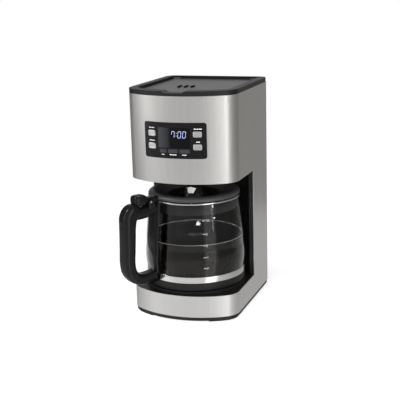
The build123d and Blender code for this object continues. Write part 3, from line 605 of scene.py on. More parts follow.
def softened(node, slot, edge):
    """A copy of a CAD node with its doubles merged and its sharp edges rounded."""
    source = frame["nodes"][node]
    piece = bpy.data.objects.new(node + "_shell", source.data.copy())
    bpy.context.scene.collection.objects.link(piece)
    piece.data.materials.clear()
    piece.data.materials.append(finish_for(SPECIAL.get(node, slot)))

    def change(work):
        bmesh.ops.remove_doubles(work, verts=work.verts, dist=2e-6)
        bmesh.ops.dissolve_limit(work, angle_limit=math.radians(0.4), verts=work.verts, edges=work.edges)

    reworked(piece, change)
    piece.data.polygons.foreach_set("use_smooth", [True] * len(piece.data.polygons))
    round_edges(piece, edge, 32)
    weighted = piece.modifiers.new("Even shading", "WEIGHTED_NORMAL")
    weighted.weight = 90
    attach(piece, source["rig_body"])
    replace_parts(piece, node)
    return piece


# Stage


class COFFEE_OT_stage(bpy.types.Operator):
    """Sets the camera, the floor and the studio light"""

    bl_idname = "coffee.stage"
    bl_label = "Stage"

    def execute(self, context):
        stage = settings().stage
        self.camera(context, stage)
        self.floor(stage)
        self.world(context)
        self.lights()
        context.scene.view_settings.view_transform = "Standard"
        return {"FINISHED"}

    def camera(self, context, stage):
        azimuth, elevation = stage.azimuth, stage.elevation
        back = Vector((math.sin(azimuth) * math.cos(elevation), -math.cos(azimuth) * math.cos(elevation),
                       math.sin(elevation)))
        level = Vector((math.cos(azimuth), math.sin(azimuth), 0.0))
        upright = back.cross(level)
        right = level * math.cos(stage.roll) + upright * math.sin(stage.roll)
        up = upright * math.cos(stage.roll) - level * math.sin(stage.roll)
        data = bpy.data.cameras.new("camera")
        data.lens = stage.lens
        data.sensor_width = 36.0
        camera = bpy.data.objects.new("camera", data)
        turn = Matrix((right, up, back)).transposed().to_4x4()
        camera.matrix_world = Matrix.Translation(Vector(stage.target) + back * stage.distance) @ turn
        context.scene.collection.objects.link(camera)
        context.scene.camera = camera

    def floor(self, stage):
        """A round floor: rings of points at even angles."""
        angle = np.linspace(0, 2 * math.pi, 96, endpoint=False)[None, :]
        radius = np.array([0.02, 0.3, 1.0])[:, None] * stage.floor_radius
        rings = np.stack([radius * np.cos(angle), radius * np.sin(angle), 0 * radius * angle], axis=-1)
        mesh = bpy.data.meshes.new("floor")
        mesh.from_pydata(rings.reshape(-1, 3).tolist(), [], stacked(rings[::-1])[:-2] + [list(range(96))])
        floor = bpy.data.objects.new("floor", mesh)
        bpy.context.scene.collection.objects.link(floor)
        made, finish = material("pale_floor")
        grain = finish.noise(40.0, 2.0, 0.5)
        board = finish.node("ShaderNodeBsdfPrincipled", Roughness=0.7,
                            Base_Color=finish.tint(grain, (0.90, 0.90, 0.90), (0.92, 0.92, 0.92)),
                            Emission_Color=(1.0, 1.0, 1.0, 1.0), Emission_Strength=FLOOR_GLOW)
        gap = finish.node("ShaderNodeBsdfTransparent")
        share = finish.seen_by_camera() * (1 - FLOOR_SHARE) + FLOOR_SHARE
        finish.node("ShaderNodeOutputMaterial", Surface=finish.blend(share, gap, board))
        floor.data.materials.append(made)

    def world(self, context):
        """Studio seen in reflections: level by bearing, brighter overhead, white to the camera."""
        world = bpy.data.worlds.new("studio")
        context.scene.world = world
        finish = Finish(world)
        x, y, z = finish.axes(finish.node("ShaderNodeTexCoord").outputs["Generated"])
        bearing = x.math("ARCTAN2", y * -1.0) / (2 * math.pi) + 0.5
        rise = finish.node("ShaderNodeMapRange", {"interpolation_type": "SMOOTHSTEP"}, Value=z,
                           From_Min=0.35, From_Max=0.95, To_Min=0.0, To_Max=1.0)
        level = finish.tint(finish.wire(rise), finish.ramp(bearing, STUDIO_WALLS), STUDIO_SKY)
        studio = finish.node("ShaderNodeBackground", Color=level, Strength=1.5)
        white = finish.node("ShaderNodeBackground", Color=(1.0, 1.0, 1.0, 1.0), Strength=1.0)
        finish.node("ShaderNodeOutputWorld", Surface=finish.blend(finish.seen_by_camera(), studio, white))

    def lights(self):
        for name, place, aim, size, energy in STUDIO_LIGHTS:
            data = bpy.data.lights.new(name, "AREA")
            data.shape = "RECTANGLE"
            data.size, data.size_y = size
            data.energy = energy
            light = bpy.data.objects.new(name, data)
            toward = Vector(aim) - Vector(place)
            turn = toward.to_track_quat("-Z", "Y").to_matrix().to_4x4()
            light.matrix_world = Matrix.Translation(place) @ turn
            light.visible_glossy = not name.endswith("fill")
            bpy.context.scene.collection.objects.link(light)


# Bearing from the back round by the left, the front (0.5) and the right, and how bright it is
STUDIO_WALLS = (
    (0.0, (0.42, 0.42, 0.42)), (0.08, 0.30), (0.13, 0.08), (0.25, 0.08), (0.29, 0.22), (0.325, 0.50),
    (0.36, 0.48), (0.41, 0.33), (0.50, 0.31), (0.59, 0.30), (0.605, 0.26), (0.625, 1.0), (0.68, 1.0),
    (0.70, 0.20), (0.85, 0.10), (0.93, (0.13, 0.124, 0.116)), (0.95, (0.15, 0.144, 0.136)),
    (1.0, (0.42, 0.42, 0.42)),
)
STUDIO_SKY = (0.22, 0.22, 0.22)
# The floor's own light, and how much of it reflections see over the studio below
FLOOR_GLOW, FLOOR_SHARE = 0.58, 0.25
# Name, place, target, size and power of each lamp
STUDIO_LIGHTS = (
    ("overhead_softbox", (-1.05, -0.45, 1.25), (0.0, 0.0, 0.15), (0.5, 0.4), 6.0),
    ("left_softbox", (-1.3, -0.7, 0.55), (0.0, 0.0, 0.15), (0.2, 1.0), 1.4),
    ("bay_fill", (0.25, -0.90, 0.36), (0.0, -0.02, 0.18), (0.5, 0.12), 5.0),
    ("right_strip", (1.1, -0.60, 0.5), (0.0, 0.0, 0.15), (0.08, 1.0), 0.8),
)


# Casing


def outline_of_casing(half, front, rear, steps=24):
    """Left half to right half of the casing's plan: sides, corner arcs and bowed front.

    The bow is a circle through the foremost point. A corner's arc touches the side and the bow, so
    its centre is one corner radius inside the side and at the bow's radius less its own from the
    bow's centre. Angles run from the front: a point is centre + radius (sin a, -cos a).
    """
    centre = front + BOW_RADIUS
    across = half - CORNER
    along = centre - math.sqrt((BOW_RADIUS - CORNER)**2 - across**2)
    meet = math.asin(across / (BOW_RADIUS - CORNER))
    bow = np.linspace(-meet, meet, 4 * steps)
    corner = np.linspace(meet, math.pi / 2, steps)
    side = np.linspace(along, rear, 6)[1:]
    right = np.concatenate([
        np.stack([across + CORNER * np.sin(corner), along - CORNER * np.cos(corner)], -1)[1:],
        np.stack([half + 0 * side, side], -1)])
    front_run = np.stack([BOW_RADIUS * np.sin(bow), centre - BOW_RADIUS * np.cos(bow)], -1)
    return np.concatenate([(right * (-1, 1))[::-1], front_run, right])


def with_stops(line, axis, values):
    """Adds points to a plan line where one coordinate passes each value, on straight chords."""
    for value in values:
        before = line[:-1, axis] - value
        after = line[1:, axis] - value
        places = np.nonzero((before * after < 0) & (abs(before) > 1e-6) & (abs(after) > 1e-6))[0]
        for place in places[::-1]:
            a, b = line[place], line[place + 1]
            share = (value - a[axis]) / (b[axis] - a[axis])
            line = np.insert(line, place + 1, a + share * (b - a), axis=0)
    return line


def sheet(name, line, levels, keep, node, body="housing"):
    """Sheet metal: a plan line raised through levels, less the cells that keep refuses.

    Point (i, j) is (line x, line y, level j). A live Solidify gives the sheet its gauge inwards.
    """
    levels = np.array(levels)
    grid = np.concatenate([np.repeat(line[:, None], len(levels), 1),
                           np.broadcast_to(levels[None, :, None], (len(line), len(levels), 1))], -1)
    middle = (grid[:-1, :-1] + grid[1:, 1:]) / 2
    i, j = np.nonzero(keep(middle))
    across = len(levels)
    first = i * across + j
    faces = np.stack([first, first + across, first + across + 1, first + 1], -1)
    piece = mesh_object(name, grid, faces.tolist(), "steel", body)
    reworked(piece, lambda work: bmesh.ops.delete(
        work, geom=[vertex for vertex in work.verts if not vertex.link_faces], context="VERTS"))
    gauge = piece.modifiers.new("Gauge", "SOLIDIFY")
    gauge.thickness = SHEET_GAUGE
    gauge.offset = -1.0
    round_edges(piece, SHEET_EDGE, 40).harden_normals = True
    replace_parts(piece, node)
    return piece


class COFFEE_OT_casing(bpy.types.Operator):
    """Finishes the casing, lid, base and everything inside with rounded edges"""

    bl_idname = "coffee.casing"
    bl_label = "Casing"

    def execute(self, context):
        slots = {part["node"]: part["material_slot"] for part in frame["record"]["subparts"]}
        for node, source in frame["nodes"].items():
            source.data.materials.clear()
            source.data.materials.append(finish_for(slots[node]))
        for node, edge in ROUNDED.items():
            softened(node, slots[node], edge * MM)
        self.upper_sheet()
        self.lower_sheet()
        self.vents()
        return {"FINISHED"}

    def vents(self):
        """Painted shade in the lid's steam vents: a near-black rounded plate a little way down in each
        slot, standing for the shadow there.
        """
        top = float(extent("tank_lid")[1][2])
        for place, (x, y) in enumerate(VENTS):
            plate(f"vent_shade_plate_{place}", (x * MM, y * MM), rounded_rectangle(*VENT_SIZE, 4),
                  [top - drop for drop in VENT_DROPS], "black_satin", "top_lid",
                  smooth=False, finish=finish_for("vent_shade"))

    def upper_sheet(self):
        low, high = extent("upper_wrap")
        panel_low, panel_high = extent("control_panel")
        line = outline_of_casing(float(high[0]), float(low[1]), float(high[1]))
        left, right = panel_low[0] + WINDOW_LAP, panel_high[0] - WINDOW_LAP
        line = with_stops(line, 0, (left, right))
        levels = (low[2], panel_low[2] + WINDOW_LAP, panel_high[2] - WINDOW_LAP, high[2])

        def keep(middle):
            in_window = (middle[..., 0] > left) & (middle[..., 0] < right) & (middle[..., 1] < 0)
            return ~(in_window & (middle[..., 2] > levels[1]) & (middle[..., 2] < levels[2]))

        sheet("upper_sheet", line, levels, keep, "upper_wrap")

    def lower_sheet(self):
        low, high = extent("lower_wrap")
        split = float(extent("upper_wrap")[1][1])
        deck = float(extent("base_shell")[1][2]) - PLINTH_RISE
        line = outline_of_casing(float(high[0]), float(low[1]), float(high[1]))
        line = with_stops(line, 1, (split,))

        def keep(middle):
            return (middle[..., 2] < deck) | (middle[..., 1] > split)

        sheet("lower_sheet", line, (low[2], deck, high[2]), keep, "lower_wrap")


CORNER = 30.0 * MM
SHEET_GAUGE, SHEET_EDGE = 0.9 * MM, 0.25 * MM
# Middles of the steam vents in mm, their width, length and corner, and how deep the painted-shade plates
# lie
VENTS = ((-20.4, -15.4), (-10.6, -14.2), (-0.8, -13.0))
VENT_SIZE = (3.0 * MM, 16.5 * MM, 1.4 * MM)
VENT_DROPS = (1.3 * MM, 0.25 * MM)
# How far the panel laps over the sheet's window, and the plinth's height over the deck
WINDOW_LAP = 1.2 * MM
PLINTH_RISE = 3.2 * MM
# Width of the rounded edge of each part, in mm
ROUNDED = {
    "top_rim": 1.6, "tank_lid": 0.7, "base_shell": 0.6, "tower_shell": 0.6, "brew_housing": 0.5,
    "bottom_cover": 0.8, "rear_cover": 0.8, "control_panel": 0.4, "rubber_feet": 0.8, "display_lens": 0.2,
    "warming_plate": 0.4, "cord_gland": 0.4, "clean_key": 0.3, "strength_key": 0.3, "volume_key": 0.3,
}


# Panel


def bow_point(x, z, proud):
    """Points of the bowed front pushed out by a stand-off: y is the front's circle at each x."""
    radius = BOW_RADIUS + proud
    return np.stack([x, BOW_CENTRE - np.sqrt(radius**2 - x**2), z + 0 * x], axis=-1)


def shown_cap(node):
    """Limits in x and z of the cap that a button's CAD node shows through the panel."""
    vertices = np.empty(3 * len(frame["nodes"][node].data.vertices))
    frame["nodes"][node].data.vertices.foreach_get("co", vertices)
    points = vertices.reshape(-1, 3)
    proud = BOW_RADIUS - np.hypot(points[:, 0], points[:, 1] - BOW_CENTRE)
    shown = points[proud < 0.2 * MM]
    return shown.min(0), shown.max(0)


class COFFEE_OT_panel(bpy.types.Operator):
    """Makes the push buttons, the lit clock and the printed marks of the panel"""

    bl_idname = "coffee.panel"
    bl_label = "Control panel"

    def execute(self, context):
        for name in ("hour", "minute", "program", "power"):
            self.button(name + "_button")
        self.clock(settings().panel.time)
        self.marks()
        return {"FINISHED"}

    def button(self, node):
        """A rounded-rectangle cap: rings of its outline at rising stand-offs and growing insets."""
        low, high = shown_cap(node)
        middle_x, middle_z = (low[0] + high[0]) / 2, (low[2] + high[2]) / 2
        rings = []
        for inset, proud in BUTTON_STEPS:
            outline = rounded_rectangle(high[0] - low[0] - 2 * inset, high[2] - low[2] - 2 * inset,
                                        CAP_CORNER - 0.6 * inset)
            rings.append(bow_point(middle_x + outline[:, 0], middle_z + outline[:, 1], proud))
        rings = np.array(rings)
        piece = mesh_object(node + "_cap", rings, stacked(rings), "button_silver", node)
        flipped(piece)
        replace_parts(piece, node)

    def clock(self, text):
        """Seven-segment digits from their usual bars, leaning a little, laid on the lens."""
        low, high = extent("display_lens")
        x, z = high[0] - CLOCK_IN, high[2] - CLOCK_DROP
        for place, sign in enumerate(text):
            if sign == ":":
                flat = [(x + 0.1 * MM, z + level, COLON_DOT, COLON_DOT) for level in COLON_LEVELS]
                x += COLON_STEP
            else:
                flat = [(x + a * DIGIT_WIDTH, z + b * DIGIT_HEIGHT, c * DIGIT_WIDTH, d * DIGIT_HEIGHT)
                        for a, b, c, d in (BARS[bar] for bar in SEGMENTS[sign])]
                x += DIGIT_STEP
            self.bars(f"clock_{place}", flat, z, LENS_PROUD, finish_for("lit_digits"), "display")

    def bars(self, name, flat, base, proud, finish, slot, lean=0.10):
        """Flat bars on the bow: each is a small closed box between two stand-offs."""
        skins = []
        for x, z, width, height in flat:
            zs = np.array([z, z, z + height, z + height])
            xs = np.array([x, x + width, x + width, x]) + lean * (zs - base)
            skins.append([bow_point(xs, zs, stand) for stand in (proud - BAR_DEPTH, proud)])
        boxes(name, skins, slot, "housing", finish)

    def marks(self):
        """Small plain marks where a panel has its labels: short bars in rows."""
        low, high = extent("control_panel")
        for place, (x, z, lengths) in enumerate(PANEL_MARKS):
            start = x - (sum(lengths) + MARK_GAP * (len(lengths) - 1)) / 2
            flat = []
            for length in lengths:
                flat.append((start * MM, high[2] - z * MM, length * MM, MARK_HEIGHT))
                start += length + MARK_GAP
            self.bars(f"label_{place}", flat, high[2] - z * MM, PANEL_PROUD, finish_for("print_and_glint"),
                      "button_silver", 0.0)


# Stand-offs of the digits and the printed marks from the bow, and how thick both are
LENS_PROUD, PANEL_PROUD, BAR_DEPTH = 0.9 * MM, 0.88 * MM, 0.2 * MM
# Gap between printed marks in mm, and their height
MARK_GAP, MARK_HEIGHT = 0.5, 1.15 * MM
CAP_CORNER = 2.2 * MM
# The clock's lower left corner from the lens's right and top edges, and the sizes of its signs
CLOCK_IN, CLOCK_DROP = 27.6 * MM, 14.6 * MM
DIGIT_WIDTH, DIGIT_HEIGHT, DIGIT_STEP = 5.0 * MM, 9.8 * MM, 7.0 * MM
COLON_DOT, COLON_STEP, COLON_LEVELS = 0.9 * MM, 2.6 * MM, (2.6 * MM, 6.6 * MM)
# The usual letters of a seven-segment digit's bars, clockwise from the top with the middle as g, and
# the left, bottom, width and height of each as shares of the digit
BARS = {
    "a": (0.14, 0.92, 0.72, 0.08), "g": (0.14, 0.46, 0.72, 0.08), "d": (0.14, 0.0, 0.72, 0.08),
    "f": (0.0, 0.53, 0.13, 0.40), "b": (0.87, 0.53, 0.13, 0.40),
    "e": (0.0, 0.07, 0.13, 0.40), "c": (0.87, 0.07, 0.13, 0.40),
}
SEGMENTS = {"0": "adfbec", "1": "bc", "2": "agdbe", "3": "agdbc", "4": "gfbc", "5": "agdfc",
            "6": "agdfec", "7": "afbc", "8": "agdfbec", "9": "agdfbc"}
# Inset from the cap's edge and stand-off from the bow, from the back of the cap to its dished face
BUTTON_STEPS = tuple((inset * MM, proud * MM) for inset, proud in (
    (0.0, -3.0), (0.0, 1.1), (0.25, 1.6), (0.7, 1.85), (1.3, 1.85), (1.7, 1.6), (2.2, 1.5), (3.2, 1.55)))
# Middle in x, drop from the panel's top, and lengths of the bars of each printed mark
PANEL_MARKS = (
    (-34.6, 9.0, (2.0, 1.6, 2.2, 1.4)), (-34.6, 27.3, (1.5, 2.4, 2.0, 1.5)),
    (35.2, 9.4, (3.0, 3.4, 3.6)), (35.2, 27.9, (1.6, 3.0)),
    (-17.0, 46.6, (1.4, 2.2)), (-1.2, 46.6, (3.0, 3.8, 2.2)), (15.6, 46.6, (2.0, 3.6)),
)


# Carafe


def glass_profile(inset, base, top, count=40):
    """Half section of the jug's wall, moved in by an inset: radius as a function of height.

    It is a parabola through the band and the belly, passes by a smooth step into a straight cone
    from the shoulder to the mouth, and draws in below the band by a power of the depth.
    """
    height = np.linspace(base, top, count)
    belly_z, belly_r = BELLY
    bend = (belly_r - BAND_RADIUS) / (belly_z - BAND_Z)**2
    belly = belly_r - bend * (height - belly_z)**2
    slope = (SHOULDER_R - MOUTH_R) / (MOUTH_Z - SHOULDER_Z)
    cone = SHOULDER_R - slope * (height - SHOULDER_Z)
    blend = 1 / (1 + np.exp(-(height - SHOULDER_Z) / SHOULDER_REACH))
    corner = np.clip((BAND_Z - height) / (BAND_Z - FLOOR_Z), 0, 1)
    radius = belly * (1 - blend) + cone * blend - FOOT_DRAW * corner**2.6
    return np.stack([radius - inset, height], -1)


BAND_Z, BAND_RADIUS = float(BAND_LOW[2]), 72.4 * MM
BELLY = (84.0 * MM, 76.7 * MM)
SHOULDER_Z, SHOULDER_R, SHOULDER_REACH = 106.0 * MM, 76.0 * MM, 3.0 * MM
MOUTH_Z, MOUTH_R = float(GLASS_HIGH[2]), 68.6 * MM
FLOOR_Z, FOOT_DRAW = float(GLASS_LOW[2]), 8.0 * MM
# The jug's lip: its roundness, and how far below the mouth it begins
LIP_RADIUS, LIP_DROP = 1.3 * MM, 2.0 * MM
# Turned pieces end this far from the axis
AXIS_GAP = 0.4 * MM
HUB_LOW, HUB_HIGH = extent("lid_hub")
CROWN_Z = float(HUB_HIGH[2]) - 4.5 * MM
LID_RADIUS = 69.6 * MM
# The lid's rolled rim, inwards and upwards, and the thickness and radius of its dish
ROLL_IN, ROLL_UP, DISH_WALL, DISH_RADIUS = 6.6 * MM, 4.8 * MM, 2.2 * MM, 20.0 * MM


def around_carafe(radius, angle, height):
    """A point at a radius and bearing about the carafe's axis."""
    return np.stack([radius * np.cos(angle), CARAFE_Y + radius * np.sin(angle), height + 0 * angle], -1)


class COFFEE_OT_carafe(bpy.types.Operator):
    """Makes the glass jug, its bands, the coffee in it and the marks on it, with painted highlights at the
    coffee's edge and on the glass
    """

    bl_idname = "coffee.carafe"
    bl_label = "Carafe"

    def execute(self, context):
        self.glass()
        self.coffee()
        self.bands()
        self.marks()
        return {"FINISHED"}

    def glass(self):
        """Outside up to a rolled lip, and back down the inside to a flat floor."""
        wall = settings().carafe.wall
        outside = glass_profile(0, FLOOR_Z, MOUTH_Z - LIP_DROP, 56)
        turn = np.linspace(-0.3 * math.pi, 1.3 * math.pi, 12)
        lip = np.stack([MOUTH_R - wall / 2 + 0.1 * MM + LIP_RADIUS * np.cos(turn),
                        MOUTH_Z - LIP_RADIUS + LIP_RADIUS * np.sin(turn)], -1)
        inside = glass_profile(wall, FLOOR_Z + wall, MOUTH_Z - LIP_DROP, 56)[::-1]
        floor = [(inside[-1, 0] - 2 * MM, FLOOR_Z + wall), (AXIS_GAP, FLOOR_Z + wall), (AXIS_GAP, FLOOR_Z),
                 (outside[0, 0] - 2 * MM, FLOOR_Z)]
        profile = np.concatenate([outside, lip, inside, floor])
        piece = turned("glass_jug", profile, "glass", "carafe", 192)
        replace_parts(piece, "carafe_glass")

    def coffee(self):
        """Coffee up to its level, with the meniscus that it draws up at the glass, and a pale ring there
        as a painted highlight.
        """
        wall = settings().carafe.wall
        level = settings().carafe.coffee_level
        side = glass_profile(wall + 0.08 * MM, FLOOR_Z + wall + 0.1 * MM, level, 48)
        edge = side[-1, 0]
        rise = np.linspace(0, 1, 8)
        meniscus = np.stack([edge - 2.6 * MM * rise, level - 1.0 * MM * (1 - (1 - rise)**2.5)], -1)
        flat = np.stack([np.array([edge - 2.9 * MM, edge - 6 * MM, 20 * MM, AXIS_GAP]),
                         np.full(4, meniscus[-1, 1])], -1)
        profile = np.concatenate([side, meniscus[1:], flat, [(AXIS_GAP, side[0, 1])]])
        turned("coffee", profile, "glass", "carafe", finish=finish_for("coffee"))
        # Painted highlight: a pale ring at the coffee's edge for the bright line where the meniscus
        # catches the light
        ring = rounded_profile([(edge - 1.2 * MM, level - 0.5 * MM), (edge, level - 0.4 * MM),
                                (edge, level + 0.4 * MM), (edge - 0.7 * MM, level + 0.25 * MM)],
                               0.12 * MM, 3)
        turned("coffee_edge_glint", ring, "glass", "carafe", finish=finish_for("edge_glint"))

    def bands(self):
        """Foot ring, steel band and neck strap, each a rounded section turned about the axis."""
        inner = FOOT_HIGH[0] - 9.0 * MM
        outer, low, high = FOOT_HIGH[0], FOOT_LOW[2], FOOT_HIGH[2]
        foot = rounded_profile([(inner, low), (outer, low), (outer, high), (BAND_RADIUS + 0.2 * MM, high),
                                (inner + 2 * MM, low + 2.0 * MM)],
                               (0.4 * MM, 1.6 * MM, 0.5 * MM, 0.3 * MM, 0.4 * MM), 5)
        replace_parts(turned("foot_ring", foot, "black_satin", "carafe"), "carafe_foot_ring")
        outer, low, high = BAND_HIGH[0], BAND_LOW[2], BAND_HIGH[2]
        band = rounded_profile([(BAND_RADIUS + 1.9 * MM, low), (outer, low), (outer, high),
                                (BAND_RADIUS + 2.2 * MM, high)],
                               (0.15 * MM, 0.8 * MM, 0.8 * MM, 0.15 * MM), 6)
        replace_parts(turned("steel_band", band, "band_steel", "carafe"), "carafe_band")
        (_, _, low), (outer, _, high) = extent("neck_ring")
        inner = outer - 1.2 * MM
        strap = rounded_profile([(inner, low), (outer, low), (outer, high), (inner, high)], 0.4 * MM, 5)
        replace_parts(turned("neck_strap", strap, "band_steel", "carafe"), "neck_ring")

    def marks(self):
        """Printed scale and signs on the glass, and two painted glints: strokes bent round the jug, a hair
        outside it.
        """
        for level, number in SCALE:
            strokes = [TICK]
            start = NUMBER_START
            for sign in number:
                strokes += [(start + a * NUMBER_WIDTH, start + (a + c) * NUMBER_WIDTH,
                             (b - 0.5) * NUMBER_HEIGHT, (b + d - 0.5) * NUMBER_HEIGHT)
                            for a, b, c, d in (BARS[bar] for bar in SEGMENTS[sign])]
                start += NUMBER_STEP
            self.stroke_piece(f"scale_{number}", MARK_BEARING, level, strokes)
        for name, (bearing, level, strokes) in PRINT_AND_GLINTS.items():
            self.stroke_piece(name, bearing, level, strokes)

    def stroke_piece(self, name, bearing, level, strokes):
        """Thin plates: a stroke's corners in mm become bearing and height on the jug."""
        skins = []
        for x0, x1, z0, z1 in strokes:
            height = (level + np.array([z0, z0, z1, z1])) * MM
            along = np.array([x0, x1, x1, x0]) * MM
            radius = np.interp(height, *glass_profile(0, FLOOR_Z, MOUTH_Z, 80).T[::-1])
            angle = math.radians(bearing) + along / radius
            skins.append([around_carafe(radius + lift * MM, angle, height) for lift in PRINT_LIFT])
        boxes(name, skins, "shield_silver", "carafe", finish_for("print_and_glint"))


# The dash before each number: left, right, bottom and top in mm; then the numbers' own sizes in mm
TICK = (0.0, 3.6, -0.3, 0.3)
NUMBER_START, NUMBER_WIDTH, NUMBER_HEIGHT, NUMBER_STEP = 4.6, 2.0, 3.6, 2.9
# Back and front of the print, in mm off the glass
PRINT_LIFT = (0.02, 0.18)
# Heights in mm and numbers of the cup scale, and its bearing in degrees
SCALE = ((150.5, "10"), (130.8, "8"), (113.9, "6"), (95.9, "4"), (79.5, "2"))
MARK_BEARING = -61.2
# Printed signs and painted glints on the glass: bearing in degrees, height in mm, and strokes as the
# dash's
PRINT_AND_GLINTS = {
    "cup_mark": (-68.6, 147.0, (
        (0.0, 6.0, -2.2, -1.4), (0.7, 5.0, -1.4, 1.6), (5.0, 6.2, 0.6, 1.2), (5.8, 6.4, -0.6, 1.0),
        (1.4, 2.0, 2.1, 3.4), (2.7, 3.3, 2.1, 3.8), (4.0, 4.6, 2.1, 3.4))),
    # Painted highlights: a white squiggle and a small triangle where light glints on the glass
    "squiggle_glint": (-48.5, 170.4, (
        (0.0, 1.6, 1.2, 2.0), (1.0, 2.2, 0.2, 1.2), (0.2, 1.4, -0.8, 0.2), (1.0, 2.2, -2.0, -0.8))),
    "triangle_glint": (-46.5, 152.6, ((-1.7, 1.7, 0.8, 1.5), (-1.1, 1.3, 0.1, 0.8), (-0.3, 0.9, -0.6, 0.1))),
}


class COFFEE_OT_lid(bpy.types.Operator):
    """Makes the carafe's lid, its hub with a pale shield painted as a highlight, and the thumb lever"""

    bl_idname = "coffee.carafe_lid"
    bl_label = "Carafe lid"

    def execute(self, context):
        self.cap()
        self.hub()
        self.lever()
        return {"FINISHED"}

    def cap(self):
        """Rounded rim that rolls into a shallow dish: an ellipse outside, a cosine slope inside."""
        rest, bend = MOUTH_Z + 0.5 * MM, CROWN_Z - ROLL_UP
        crest, dish_z = LID_RADIUS - ROLL_IN, HUB_LOW[2] + 2.5 * MM
        turn = np.linspace(0, math.pi / 2, 16)
        roll = np.stack([crest + ROLL_IN * np.cos(turn), bend + ROLL_UP * np.sin(turn)], -1)
        share = np.linspace(0, 1, 26)[1:]
        fall = 0.5 - 0.5 * np.cos(math.pi * share)
        dish = np.stack([crest + (DISH_RADIUS - crest) * share, CROWN_Z + (dish_z - CROWN_Z) * fall], -1)
        under = dish[::-1] - (0.0, DISH_WALL)
        low = extent("carafe_lid")[0][2] + 0.2 * MM
        skirt = np.array([(crest - 0.3 * MM, bend), (crest - 0.3 * MM, low + 0.3 * MM), (crest, low),
                          (crest + 2.1 * MM, low), (crest + 2.4 * MM, low + 0.3 * MM),
                          (crest + 2.4 * MM, rest)])
        edge = [(LID_RADIUS - 0.4 * MM, rest), (LID_RADIUS, rest + 0.4 * MM)]
        profile = np.concatenate([edge, roll, dish, under, skirt])
        piece = turned("lid_cap", profile, "black_gloss", "carafe_cap", 192, finish_for("jug_lid"))
        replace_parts(piece, "carafe_lid")

    def hub(self):
        """The hub, pairs of short tabs at its sides, and on its slanted facet the pale shield, a painted
        highlight.
        """
        foot = (HUB_HIGH[0] - HUB_LOW[0]) / 2
        softened("lid_hub", "black_gloss", 0.6 * MM)
        start, end = foot - 1.0 * MM, foot + 3.6 * MM
        outline = rounded_rectangle(end - start, *FIN_SECTION, 4)
        for side in (-1, 1):
            for row, rise in enumerate(FIN_LEVELS):
                level = HUB_LOW[2] + rise * MM
                plate(f"hub_fin_{side + 1}_{row}", (side * (start + end) / 2, CARAFE_Y), outline,
                      (level, level + FIN_GAUGE), "black_gloss", "carafe_cap")
        # Painted highlight: a pale piece where light makes a bright patch on the hub's facet
        softened("hub_shield", "shield_silver", 0.3 * MM)

    def lever(self):
        """Thumb rest: a flattened superellipsoid over the hinge, on a short arm to the lid.

        A point is centre + (a |cos u|^p |cos v|^p, b |sin u|^p |cos v|^p, c |sin v|^p), with signs.
        """
        u = np.linspace(-math.pi, math.pi, 72, endpoint=False)[None, :]
        v = np.linspace(-math.pi / 2 + 0.02, math.pi / 2 - 0.02, 36)[:, None]

        def bent(value, power):
            return np.sign(value) * np.abs(value)**power

        for name, body, centre, size, power in LEVER_PARTS:
            out = centre[0] + size[0] * bent(np.cos(v), power) * bent(np.cos(u), power)
            across = centre[1] + size[1] * bent(np.cos(v), power) * bent(np.sin(u), power)
            rise = centre[2] + size[2] * bent(np.sin(v), power) + 0 * u
            rings = in_handle_plane(out * MM, across * MM, rise * MM)
            flipped(mesh_object(name, rings, stacked(rings), "black_gloss", body))


# Heights of the hub's tabs in mm above its foot, and their width, corner and thickness
FIN_LEVELS = (3.6, 6.0)
FIN_SECTION, FIN_GAUGE = (5.0 * MM, 0.8 * MM), 0.9 * MM
# Name, body, middle and half sizes (out, across, up) and power of each rounded block, in mm
LEVER_PARTS = (
    ("thumb_rest", "carafe_cap", (98.4, 0.0, 180.4), (10.6, 10.6, 8.0), 0.55),
    ("lever_arm", "carafe_cap", (79.0, 0.0, 180.1), (12.4, 6.4, 2.7), 0.35),
    ("hinge_lug_right", "carafe", (81.8, 9.0, 172.6), (5.6, 2.4, 7.2), 0.5),
    ("hinge_lug_left", "carafe", (81.8, -9.0, 172.6), (5.6, 2.4, 7.2), 0.5),
)


def in_handle_plane(out, across, height):
    """Turns a distance out, a distance across and a height into a point by the handle's bearing."""
    cos, sin = math.cos(HANDLE_BEARING), math.sin(HANDLE_BEARING)
    return np.stack([out * cos - across * sin, CARAFE_Y + out * sin + across * cos, height], -1)


